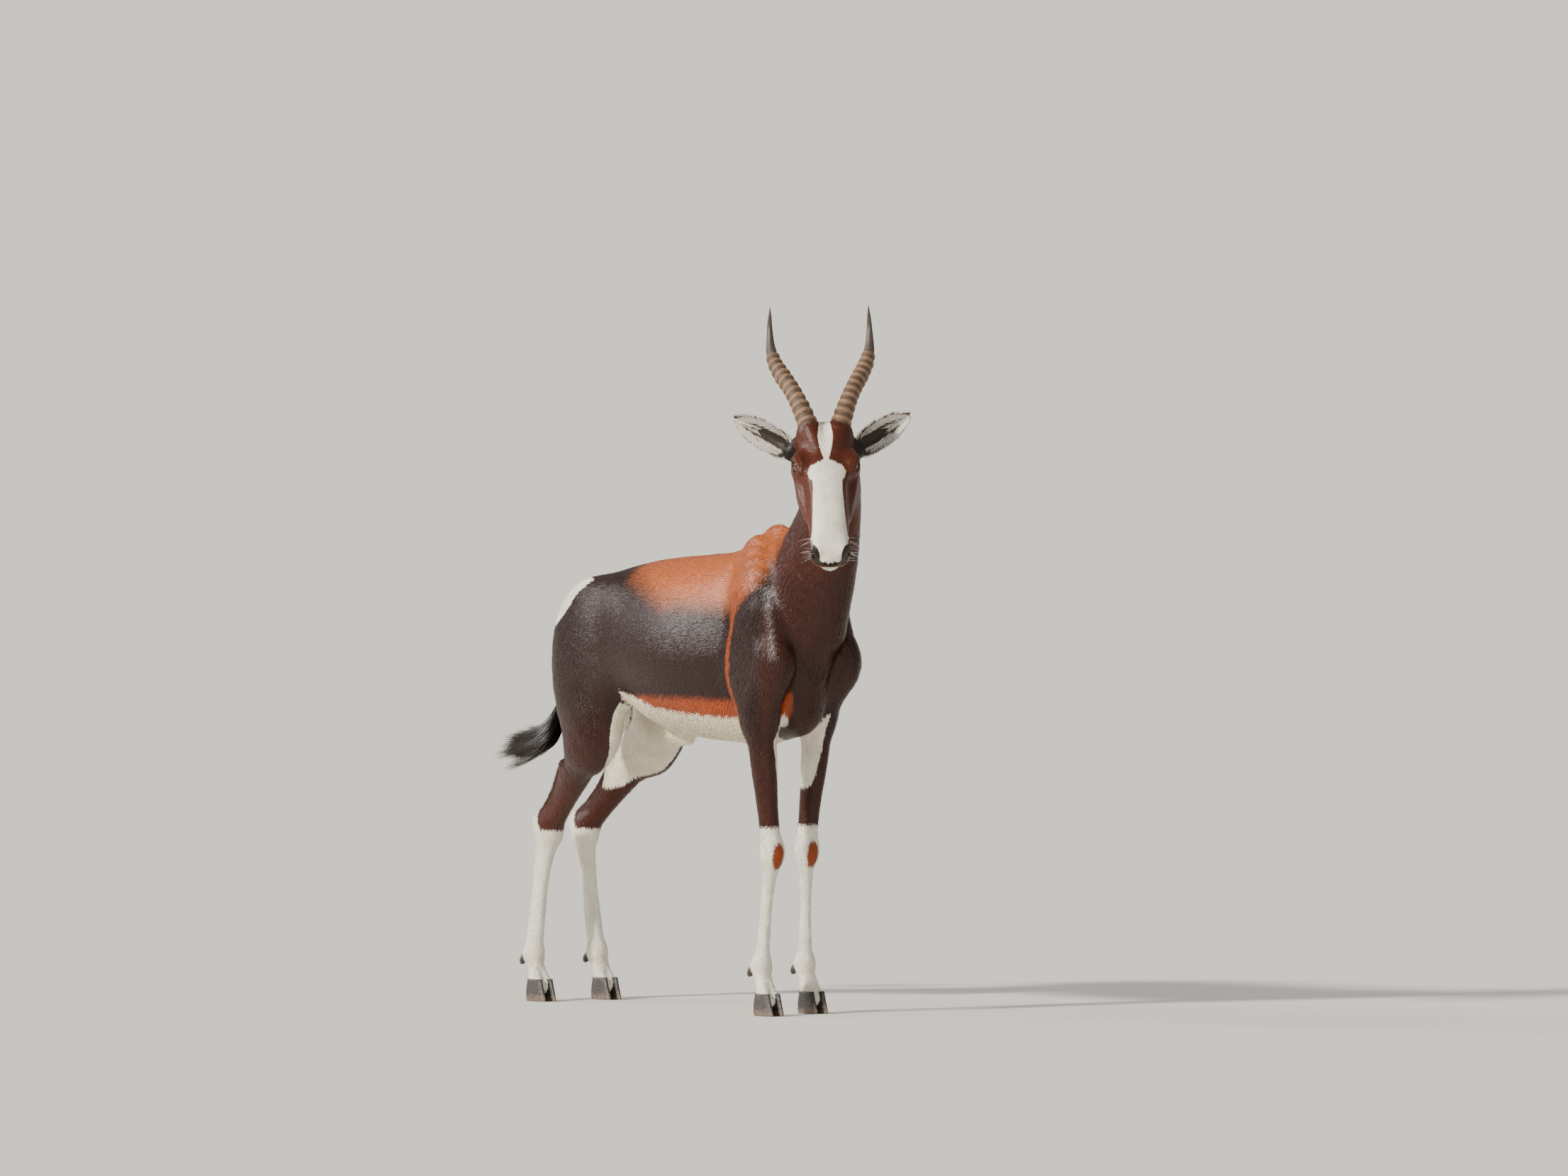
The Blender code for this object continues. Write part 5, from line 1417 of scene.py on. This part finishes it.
def ear_shell(s, material):
    """The thin cup of an ear, its base sunk in the hair of the head."""
    rows, strips = 40, 28
    shares = np.linspace(-0.10, 1, rows)
    turns = np.linspace(-1, 1, strips)
    share, turn = [a.ravel() for a in np.meshgrid(np.clip(shares, 0, 1), turns, indexing="ij")]
    sunk = np.minimum(np.repeat(shares, strips), 0)[:, None] * ear_axes(s)[0] * EAR_LENGTH
    thick = EAR_THICKNESS * (1 - 0.55 * share) * (1 - 0.5 * np.abs(turn) ** 4)
    walls = [ear_place(s, share, turn, depth) + sunk for depth in (0.0004, thick)]
    outer, inner = [wall.reshape(rows, strips, 3) for wall in walls]
    points = np.concatenate([outer, inner[:, ::-1]], axis=1).reshape(-1, 3)
    faces = ring_faces(rows, strips * 2)
    if s < 0:
        faces = faces[:, ::-1]
    obj = add_mesh(f"ear_{s}", points, [faces], material)
    share = np.repeat(np.clip(shares, 0, 1), strips * 2)
    turn = np.tile(np.concatenate([turns, turns[::-1]]), rows)
    behind = np.tile(np.repeat([1.0, 0.0], strips), rows)
    rim_line = soft(0.07 - np.abs(np.abs(turn) - 0.86), 0.05)
    store(obj.data, {"dark": strongest(ear_streaks(share, turn), rim_line),
                     "back": behind * soft(0.42 - np.abs(turn), 0.16),
                     "tone": np.full(len(points), 0.5)})
    return obj


def ear_hair(coat):
    """Long pale hair over the inside of each ear from its front edge, and a fringe on its rim."""
    rng = np.random.default_rng(5)
    material = ear_hair_finish(coat)
    count = 5200
    pieces = []
    for side, s in SIDES.items():
        share = rng.uniform(0.02, 0.97, count)
        turn = rng.uniform(-1, 1, count)
        kind = rng.random(count)
        edge, outside = kind < 0.42, kind > 0.72
        turn[edge] = np.sign(turn[edge]) * rng.uniform(0.80, 1.0, edge.sum())
        turn[outside] *= 0.66
        share[outside] *= 0.90
        depth = np.where(outside, 0.0002, EAR_THICKNESS * (1 - 0.55 * share))
        root = ear_place(s, share, turn, depth)
        along = units(ear_place(s, np.clip(share + 0.01, 0, 1), turn, depth) - root + 1e-7)
        inward = units(ear_place(s, share, turn * 0.98, depth) - root + 1e-7)
        normal = units(np.cross(along, inward)) * np.sign(turn)[:, None]
        normal *= (np.sign(normal @ ear_axes(s)[2]) * np.where(outside, 1.0, -1.0))[:, None]
        lean = np.where(outside, 0.0, np.where(edge, 0.85, 0.30))
        along = units(along + inward * lean[:, None] + normal * np.where(edge, 0.35, 0.12)[:, None])
        length = np.where(outside, 0.0060, np.where(edge, 0.0125, 0.011)) * rng.uniform(0.7, 1.25, count)
        length *= np.where(share > 0.85, 0.6, 1.0)
        marks = {
            "dark": ear_streaks(share, turn) * ~edge * ~outside,
            "back": outside * (np.abs(turn) < 0.34),
            "tone": rng.random(count),
        }
        hairs = {"root": root, "normal": normal, "along": along, "length": length,
                 "width": np.full(count, 0.0008), "lift": np.full(count, 0.0012)}
        uv = np.stack([0.03 + 0.9 * (turn + 1) / 2, 0.03 + 0.9 * share * 0.45 + 0.46 * outside], axis=1)
        pieces.append(tuft_mesh(f"coat_ear_{side}", hairs, marks, uv, material, rng))
    return pieces


# Horns


# The middle of a horn, outward, upward and backward from its seat
HORN_LINE = [
    (0.000, 0.000, 0.000), (0.0145, 0.040, 0.020), (0.0325, 0.079, 0.053), (0.0485, 0.104, 0.082),
    (0.0610, 0.129, 0.106), (0.0657, 0.152, 0.121), (0.0668, 0.184, 0.131), (0.0656, 0.229, 0.131),
]
HORN_HALF_WIDTH = 0.0195
HORN_HALF_DEPTH = 0.0235
HORN_RINGS = 12
RINGED_SHARE = 0.70  # of the horn's length, from its base
RING_HEIGHT = 0.0030
GROOVE_DEPTH = 0.0008


def horn_surface(s, shares, angle):
    """How high the rings stand at each point of the horn, as a share, and how far they swell it."""
    rng = np.random.default_rng(7 if s > 0 else 8)
    ripple = sum(rng.uniform(0.2, 0.5) * np.cos(k * angle + rng.uniform(0, 6)) for k in (2, 3, 5))
    along = shares[:, None]
    phase = along / RINGED_SHARE * HORN_RINGS + 0.05 * ripple * np.minimum(along * 12, 1)
    place = np.mod(phase, 1)
    height = np.where(place < 0.62, np.sin(pi * np.clip(place / 0.62, 0, 1)) ** 0.75, 0)
    ring = np.clip(np.floor(phase), 0, HORN_RINGS - 1).astype(int)
    ringed = soft(RINGED_SHARE - along, 0.02)
    height *= rng.uniform(0.75, 1.1, HORN_RINGS)[ring] * ringed * soft(along - 0.045, 0.03)
    facing = 0.50 + 0.50 * np.clip(np.sin(angle) * 0.8 - s * np.cos(angle) * 0.4, 0, 1)
    lumps = 1 + 0.10 * np.sin(3 * angle + 5 * ring + rng.uniform(0, 6))
    return height, height * facing * lumps * RING_HEIGHT - GROOVE_DEPTH * ringed


def build_horn(side, horns):
    """A horn of knobbly rings, strongest in front, with a smooth tip."""
    s = SIDES[side]
    sides = 56
    shares = np.concatenate([np.linspace(0, RINGED_SHARE, 190), np.linspace(RINGED_SHARE, 1, 60)[1:]])
    line = beside_head(s, HORN_SEAT) + np.array(HORN_LINE) @ np.array([ACROSS * s, CROWN, -AHEAD])
    at = np.concatenate([[0], np.cumsum(np.linalg.norm(np.diff(line, axis=0), axis=1))])

    def centre(t):
        return np.stack([smooth_curve(at, line[:, i], t * at[-1]) for i in range(3)], axis=1)

    path = centre(shares)
    along = units(centre(np.minimum(shares + 0.01, 1)) - centre(np.maximum(shares - 0.01, 0)))
    wide = units(ACROSS - along * (along @ ACROSS)[:, None])
    front = np.cross(wide, along)
    front *= np.sign(front @ AHEAD)[:, None]
    girth = smooth_curve([0, 0.11, 0.23, 0.36, 0.52, 0.60, 0.66, RINGED_SHARE, 0.75, 0.84, 0.935, 1.0],
                         [1.0, 0.92, 0.82, 0.77, 0.74, 0.69, 0.61, 0.52, 0.42, 0.29, 0.17, 0.03], shares)
    angle = 2 * pi * np.arange(sides) / sides
    height, swell = horn_surface(s, shares, angle)
    scale = girth[:, None] + swell / HORN_HALF_WIDTH
    points = path[:, None] + wide[:, None] * (np.cos(angle) * HORN_HALF_WIDTH * scale)[:, :, None]
    points += front[:, None] * (np.sin(angle) * HORN_HALF_DEPTH * scale)[:, :, None]
    points[0] -= along[0] * 0.006
    faces = ring_faces(len(shares), sides)
    ends = np.array([np.arange(sides)[::-1], (len(shares) - 1) * sides + np.arange(sides)])
    if np.cross(wide[0], front[0]) @ along[0] < 0:
        faces, ends = faces[:, ::-1], ends[:, ::-1]
    obj = add_mesh(f"horn_{side}_keratin", points.reshape(-1, 3), [faces, ends], horn_finish(horns))
    store(obj.data, {"ridge": height.ravel(), "along": np.repeat(shares, sides)})
    return obj


# Eyes and feet


def sphere(name, centre, radii, axes, material, sides=48, rows=32):
    """A round body whose poles lie along its first axis; gives its points' directions too."""
    tilt = np.linspace(0, pi, rows)[1:-1]
    turn = 2 * pi * np.arange(sides) / sides
    t, a = [v.ravel() for v in np.meshgrid(tilt, turn, indexing="ij")]
    way = np.stack([np.cos(t), np.sin(t) * np.cos(a), np.sin(t) * np.sin(a)], axis=1)
    way = np.concatenate([way, [(1, 0, 0), (-1, 0, 0)]])
    i, j = np.arange(sides), (np.arange(sides) + 1) % sides
    first_pole, last = len(way) - 2, (rows - 3) * sides
    caps = np.concatenate([np.stack([np.full(sides, first_pole), j, i], axis=1),
                           np.stack([np.full(sides, first_pole + 1), last + i, last + j], axis=1)])
    faces = [ring_faces(rows - 2, sides), caps]
    if np.linalg.det(axes) < 0:
        faces = [f[:, ::-1] for f in faces]
    return add_mesh(name, centre + (way * radii) @ axes, faces, material), way


def build_eye(side, eyes):
    """An eyeball with its iris and wide pupil."""
    centre, out, slit, rise = eye_frame(SIDES[side])
    axes = np.array([out, slit, rise])
    obj, way = sphere(f"eye_{side}_ball", centre, (EYE_RADIUS,) * 3, axes, eye_finish(eyes), 64, 64)
    across, high = way[:, 1] * EYE_RADIUS, way[:, 2] * EYE_RADIUS
    in_front = way[:, 0] > 0
    pupil = soft(1 - np.hypot(across / 0.0060, high / 0.0030), 0.25) * in_front
    limbus = np.where(in_front, soft(np.hypot(across, high) - 0.0118, 0.0015), 1.0)
    store(obj.data, {"pupil": pupil, "limbus": limbus})
    return obj


LEGS = (*FORE.values(), *HIND.values())
HOOF_HEIGHTS = [0, 0.0012, 0.004, 0.008, 0.013, 0.018, 0.023, 0.028, 0.033, 0.037, CORONET + 0.001]
HOOF_BANDS = range(2, 9)  # the rings that carry growth bands
BAND_HEIGHT = 0.0005
SOLE_EDGE = 0.0012


def claw_rings(middle, s, sides):
    """The rings of one claw's wall from the sole up, with growth bands."""
    rings = []
    heights = [0, 0.006, 0.020, 0.040]
    for i, z in enumerate(HOOF_HEIGHTS):
        long = np.interp(z, heights, [0.0610, 0.0612, 0.0540, 0.0428])
        wide = np.interp(z, heights, [0.0200, 0.0210, 0.0212, 0.0196])
        forward = np.interp(z, heights, [0.0080, 0.0070, 0.0045, 0.0035])
        band = BAND_HEIGHT * (i % 2) if i in HOOF_BANDS else -SOLE_EDGE * (i == 0)
        outline = claw_outline(long + band, wide + band, forward, s, sides)
        rings.append(middle + np.column_stack([outline, np.full(sides, z)]))
    return np.concatenate(rings)


def build_hooves(feet):
    """The claws of all four feet, each flat on the ground, and their dewclaws."""
    material = hoof_finish(feet)
    sides = 44
    toes = [leg["toe"] for leg in LEGS]
    claws = [claw_rings((x, y + s * CLAW_ASIDE, 0), s, sides) for x, y, _ in toes for s in SIDES.values()]
    starts = len(claws[0]) * np.arange(len(claws))
    quads = np.concatenate([ring_faces(len(HOOF_HEIGHTS), sides, start) for start in starts])
    sole = np.arange(sides)[::-1]
    top = (len(HOOF_HEIGHTS) - 1) * sides + np.arange(sides)
    ends = np.concatenate([[start + sole, start + top] for start in starts])
    points = np.concatenate(claws)
    hooves = add_mesh("hooves", points, [quads, ends], material)
    store(hooves.data, {"low": soft(0.012 - points[:, 2], 0.016)})
    dewclaws = []
    for leg in LEGS:
        for s in SIDES.values():
            aim = unit((-0.55, s * 0.12, -0.80))
            side = unit(LEFT - aim * (LEFT @ aim))
            axes = np.array([aim, side, np.cross(aim, side)])
            centre = np.array(leg["fetlock"]) + (-0.0180, s * 0.0110, -0.010)
            obj, way = sphere("dewclaws", centre, (0.0125, 0.0062, 0.0075), axes, material, 20, 14)
            store(obj.data, {"low": soft(way[:, 0] - 0.6, 0.4)})
            dewclaws.append(obj)
    return hooves, joined_objects(dewclaws)


def joined_objects(objects):
    """Objects made one, with the first one's name."""
    with bpy.context.temp_override(active_object=objects[0], selected_editable_objects=objects):
        bpy.ops.object.join()
    return objects[0]


# Long hair


def strands(name, paths, width, marks, uv, material):
    """Thin ribbons along paths of equal length, tapering to their tips."""
    count, steps, _ = paths.shape
    run = units(np.gradient(paths, axis=1))
    side = units(np.cross(run, LEFT + 0.3 * X_AXIS))
    taper = np.linspace(1, 0, steps) ** 0.7
    half = side * (width[:, None] / 2 * taper)[:, :, None]
    points = np.stack([paths - half, paths + half], axis=2).reshape(-1, 3)
    first = (np.arange(count)[:, None] * steps * 2 + np.arange(steps - 1)[None, :] * 2).ravel()[:, None]
    faces = np.concatenate([first + (0, 1, 3), first + (0, 3, 2)])
    obj = add_mesh(name, points, [faces], material)
    store(obj.data, {key: np.repeat(value, steps * 2) for key, value in marks.items()})
    patch = np.stack(np.meshgrid(np.linspace(0, 1, steps), (0, 1), indexing="ij"), axis=-1).reshape(-1, 2)
    add_bake_map(obj, faces, uv, patch)
    return obj


def build_tail(coat):
    """The tail's long black hair, carried back and down by the wind in loose wisps."""
    rng, locks = np.random.default_rng(23), np.random.default_rng(24)
    count, lock_count, steps = 4200, 34, 9
    bones = np.array(TAIL_BONES)
    end, tip = bones[-1], np.array(TAIL_TIP)
    start_share = rng.random(count) ** 1.6
    angle = rng.uniform(0, 2 * pi, count)
    around = np.stack([np.zeros(count), np.cos(angle), np.sin(angle)], axis=1)
    root = end + (bones[-2] - end) * start_share[:, None] * 0.75 + around * 0.0055
    lock = rng.integers(0, lock_count, count)
    sideways, upward = locks.normal(0, 0.010, lock_count), locks.normal(0, 0.014, lock_count)
    lock_goal = np.stack([np.zeros(lock_count), sideways, upward], axis=1)[lock]
    reach = locks.uniform(0.55, 1.0, lock_count)[lock] * rng.uniform(0.85, 1.05, count)
    goal = end + (tip - end) * reach[:, None] + lock_goal * reach[:, None] ** 0.5
    goal += rng.normal(0, 0.0028, (count, 3)) * (0.5 + reach[:, None])
    control = end + (-0.010, -0.004, -0.056) + lock_goal * 0.5 + around * 0.010
    control[:, 2] -= 0.008 * (1 - start_share)
    t = np.linspace(0, 1, steps)[None, :, None]
    paths = root[:, None] * (1 - t) ** 2 + control[:, None] * 2 * t * (1 - t) + goal[:, None] * t**2
    wave = np.sin(t[..., 0] * 7 + locks.uniform(0, 6, lock_count)[lock][:, None])
    paths[..., 2] += wave * 0.0035 * t[..., 0]
    marks = {"tone": rng.random(count), "black": np.ones(count)}
    uv = np.stack([0.03 + 0.9 * rng.random(count), 0.03 + 0.9 * reach / 1.1], axis=1)
    return strands("coat_tail_tuft", paths, rng.uniform(0.0006, 0.0011, count), marks, uv, tail_finish(coat))


def whisker_ends(rng):
    """Roots and tips of the whiskers at the sides of the muzzle and chin."""
    roots, tips = [], []
    for s in SIDES.values():
        for _ in range(16):
            x, z = rng.uniform(0.256, 0.300), rng.uniform(-0.072, -0.038)
            root = at_head(x, s * (0.036 - 0.2 * max(0, x - 0.283)), z)
            way = ACROSS * s * rng.uniform(0.7, 1.1) + FACE * rng.uniform(-0.1, 0.5)
            way -= UP * rng.uniform(-0.5, 0.5)
            roots.append(root)
            tips.append(root + unit(way) * rng.uniform(0.012, 0.028))
    return np.array(roots), np.array(tips)


def build_whiskers(coat):
    """Pale whiskers that sag a little towards their tips."""
    rng = np.random.default_rng(3)
    root, tip = whisker_ends(rng)
    count = len(root)
    t = np.linspace(0, 1, 6)[None, :, None]
    paths = root[:, None] * (1 - t) + tip[:, None] * t - UP * 0.004 * t**2
    marks = {"tone": rng.random(count), "dark": np.zeros(count), "back": np.zeros(count)}
    uv = np.stack([np.linspace(0.05, 0.95, count), np.full(count, 0.5)], axis=1)
    return strands("whiskers", paths, np.full(count, 0.0006), marks, uv, ear_hair_finish(coat))


# Stage


CAMERA_WAY = np.array([0.848, -0.530, 0.0349])  # from the animal to the camera
CAMERA_AWAY = 100.0  # far enough for the flat look of a long lens
SENSOR_WIDTH = 36  # millimetres
PICTURE_WIDTH = 2.903  # across the picture at the animal
PICTURE_MIDDLE = np.array([0.0056, 0.0089, 0.7894])
PICTURE_RIGHT = np.array([0.530, 0.848, 0])
LIT_PLACE = (-0.25, 0, 0.60)  # the middle of the body, which the lights face
FLOOR_REACH = 900.0  # so far that its edge is at the horizon


def aim(obj, target):
    """Turns the camera or light to face the target."""
    obj.rotation_euler = (Vector(target) - obj.location).to_track_quat("-Z", "Y").to_euler()


def soft_light(name, way, spread, strength, colour):
    """A far lamp of the given angular size, so its light is even over floor and animal."""
    target = PLACE + LIT_PLACE
    light = bpy.data.lights.new(name, "SUN")
    light.angle = radians(spread)
    light.energy = strength
    light.color = colour
    obj = bpy.data.objects.new(name, light)
    bpy.context.scene.collection.objects.link(obj)
    obj.location = Vector(target) + Vector(unit(way) * 6)
    aim(obj, target)


def build_stage(stage):
    """A pale floor, soft lights with the key from the picture's upper left, and the camera."""
    corners = np.array([(-1, -1, 0), (1, -1, 0), (1, 1, 0), (-1, 1, 0)]) * FLOOR_REACH
    floor = add_mesh("studio_floor", corners - PLACE, [np.array([(0, 1, 2, 3)])], floor_finish())
    middle = PICTURE_MIDDLE + PLACE
    lens = bpy.data.cameras.new("camera")
    lens.sensor_width = SENSOR_WIDTH
    lens.lens = SENSOR_WIDTH * CAMERA_AWAY / PICTURE_WIDTH
    lens.clip_end = 4 * CAMERA_AWAY
    camera = bpy.data.objects.new("camera", lens)
    bpy.context.scene.collection.objects.link(camera)
    camera.location = Vector(middle + CAMERA_WAY * CAMERA_AWAY)
    aim(camera, middle)
    bpy.context.scene.camera = camera
    key_way = CAMERA_WAY * 0.60 - PICTURE_RIGHT * 0.72 + UP * 0.50
    fill_way = CAMERA_WAY + PICTURE_RIGHT * 0.9 + UP * 0.25
    back_way = -CAMERA_WAY * 0.35 - PICTURE_RIGHT * 0.9 + UP * 0.45
    soft_light("key_light", key_way, 6, stage.key, stage.key_colour)
    soft_light("fill_light", fill_way, 60, stage.fill, (0.90, 0.95, 1.0))
    soft_light("back_light", back_way, 25, stage.back, (1.0, 0.98, 0.96))
    world = bpy.data.worlds.new("studio")
    world.use_nodes = True
    sky = world.node_tree.nodes["Background"]
    sky.inputs["Color"].default_value = (*linear("#E9EBEA"), 1)
    sky.inputs["Strength"].default_value = stage.room
    bpy.context.scene.world = world


# What a user would change


def colour_property(name, default, description):
    """A colour that a user can set, given as an sRGB hex value."""
    return FloatVectorProperty(name=name, description=description, subtype="COLOR", min=0, max=1,
                               default=linear(default))


def strength_property(name, default, description):
    """The strength of one of the studio's lights."""
    return FloatProperty(name=name, description=f"Strength of {description}", default=default, min=0)


class CoatSettings(bpy.types.PropertyGroup):
    """The skin's fineness, and the coat's fullness and colours."""

    cell: FloatProperty(name="Skin Cell", description="Size of the skin's faces on the body", default=0.0062,
                        min=0.003, max=0.02, unit="LENGTH", subtype="DISTANCE")
    tufts: IntProperty(name="Tufts", description="Tufts over the whole skin", default=360000, min=1000)
    chestnut: colour_property("Chestnut", "#481F13", "Neck and legs")
    russet: colour_property("Russet", "#743619", "Sides of the face")
    plum: colour_property("Plum", "#25100B", "Glossy flanks, haunches and shoulders")
    copper: colour_property("Copper", "#AC5A2C", "Saddle from withers to loin")
    rust: colour_property("Rust", "#9C4317", "Band above the belly and marks on the carpus")
    # Black also paints the shade under the chest, as well as the real black of lips, eye rims and tail.
    black: colour_property("Black", "#15100E", "Lips, eye rims and tail")
    white: colour_property("White", "#F2EDE0", "Blaze, stockings and rump")
    cream: colour_property("Cream", "#E9DDBE", "Belly wool")
    ear: colour_property("Ear Skin", "#CFC6BA", "Inside of the ears")
    ear_hair: colour_property("Ear Hair", "#EDE8DC", "Long hair in the ears")
    ear_dark: colour_property("Ear Streaks", "#2A211D", "Dark streaks and rim of the ears")
    # Painted light: the brown given to random tail strands, as if sunlit.
    painted_sunlit_tail: colour_property("Tail Brown", "#3A2419", "Sunlit strands of the tail")


class HornSettings(bpy.types.PropertyGroup):
    """The horns' colours."""

    ridge: colour_property("Ridges", "#7F5F43", "Worn straw-brown ridges")
    groove: colour_property("Grooves", "#4F3928", "Darker grooves between the ridges")
    tip: colour_property("Tips", "#43362D", "Smooth grey-brown tips")


class EyeSettings(bpy.types.PropertyGroup):
    """The eyes' colours."""

    iris: colour_property("Iris", "#57301A", "Dark brown of the iris")
    iris_light: colour_property("Iris Rays", "#7A4826", "Lighter rays in the iris")
    limbus: colour_property("Limbus", "#2C1D16", "Edge of the eyeball under the lids")


class FeetSettings(bpy.types.PropertyGroup):
    """The hooves' colours."""

    hoof: colour_property("Hoof", "#2E2622", "Dark hoof horn")
    scuffed: colour_property("Scuffs", "#6B5B4C", "Scuffed horn near the ground")


class StageSettings(bpy.types.PropertyGroup):
    """The studio's lights."""

    key: strength_property("Key", 5.4, "the key light")
    fill: strength_property("Fill", 0.5, "the fill light")
    back: strength_property("Back", 1.8, "the light behind")
    room: strength_property("Room", 0.50, "the even light of the room")
    key_colour: FloatVectorProperty(name="Key Colour", description="Warm colour of the key light",
                                    subtype="COLOR", min=0, max=1, default=(1.0, 0.95, 0.87))


class BONTEBOK_OT_skin(bpy.types.Operator):
    """Builds the skin with its lids, lips and nostrils, and the ears"""

    bl_idname = "bontebok.skin"
    bl_label = "Build Skin"

    def execute(self, context):
        skin = build_skin(context.scene.bontebok_coat)
        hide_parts(*[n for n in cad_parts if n.split("_")[0] in FLESH_NODES or n == "tail_dock"])
        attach(skin, "root")
        return {"FINISHED"}


class BONTEBOK_OT_coat(bpy.types.Operator):
    """Covers the skin and the ears with tufts of hair"""

    bl_idname = "bontebok.coat"
    bl_label = "Grow Coat"

    def execute(self, context):
        coat = context.scene.bontebok_coat
        for piece in build_coat(bpy.data.objects["skin"], coat) + ear_hair(coat) + [build_whiskers(coat)]:
            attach(piece, "root")
        return {"FINISHED"}


class BONTEBOK_OT_tail(bpy.types.Operator):
    """Builds the tail's long hair"""

    bl_idname = "bontebok.tail"
    bl_label = "Build Tail Hair"

    def execute(self, context):
        tail = build_tail(context.scene.bontebok_coat)
        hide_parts("tail_tuft")
        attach(tail, "root")
        return {"FINISHED"}


class BONTEBOK_OT_horns(bpy.types.Operator):
    """Builds both ringed horns"""

    bl_idname = "bontebok.horns"
    bl_label = "Build Horns"

    def execute(self, context):
        for side in SIDES:
            horn = build_horn(side, context.scene.bontebok_horns)
            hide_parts(f"horn_{side}")
            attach(horn, "root")
        return {"FINISHED"}


class BONTEBOK_OT_eyes(bpy.types.Operator):
    """Builds both eyes"""

    bl_idname = "bontebok.eyes"
    bl_label = "Build Eyes"

    def execute(self, context):
        for side in SIDES:
            eye = build_eye(side, context.scene.bontebok_eyes)
            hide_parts(f"eye_{side}")
            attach(eye, "root")
        return {"FINISHED"}


class BONTEBOK_OT_feet(bpy.types.Operator):
    """Builds the hooves and dewclaws"""

    bl_idname = "bontebok.feet"
    bl_label = "Build Hooves"

    def execute(self, context):
        for piece, kind in zip(build_hooves(context.scene.bontebok_feet), ("hoof", "dewclaw")):
            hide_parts(*[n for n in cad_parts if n.startswith(kind)])
            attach(piece, "root")
        return {"FINISHED"}


class BONTEBOK_OT_stage(bpy.types.Operator):
    """Sets the floor, the lights and the camera"""

    bl_idname = "bontebok.stage"
    bl_label = "Set Stage"

    def execute(self, context):
        build_stage(context.scene.bontebok_stage)
        return {"FINISHED"}


FLESH_NODES = {"torso", "neck", "head", "foreleg", "hindleg", "ear"}

OPERATORS = [BONTEBOK_OT_skin, BONTEBOK_OT_coat, BONTEBOK_OT_tail, BONTEBOK_OT_horns, BONTEBOK_OT_eyes,
             BONTEBOK_OT_feet, BONTEBOK_OT_stage]
SETTINGS = {
    "bontebok_coat": CoatSettings,
    "bontebok_horns": HornSettings,
    "bontebok_eyes": EyeSettings,
    "bontebok_feet": FeetSettings,
    "bontebok_stage": StageSettings,
}


class BONTEBOK_PT_panel(bpy.types.Panel):
    """Lists the settings and the pieces"""

    bl_label = "Bontebok Ram"
    bl_space_type = "VIEW_3D"
    bl_region_type = "UI"
    bl_category = "Bontebok"

    def draw(self, context):
        for operator in OPERATORS:
            self.layout.operator(operator.bl_idname)
        for name, group in SETTINGS.items():
            box = self.layout.box()
            for setting in group.__annotations__:
                box.prop(getattr(context.scene, name), setting)


CLASSES = [*SETTINGS.values(), *OPERATORS, BONTEBOK_PT_panel]


def register():
    for kind in CLASSES:
        bpy.utils.register_class(kind)
    for name, group in SETTINGS.items():
        setattr(bpy.types.Scene, name, PointerProperty(type=group))


def unregister():
    for name in SETTINGS:
        delattr(bpy.types.Scene, name)
    for kind in reversed(CLASSES):
        bpy.utils.unregister_class(kind)


def main():
    register()
    bpy.ops.bontebok.skin()
    bpy.ops.bontebok.coat()
    bpy.ops.bontebok.tail()
    bpy.ops.bontebok.horns()
    bpy.ops.bontebok.eyes()
    bpy.ops.bontebok.feet()
    bpy.ops.bontebok.stage()


if __name__ == "__main__":
    main()
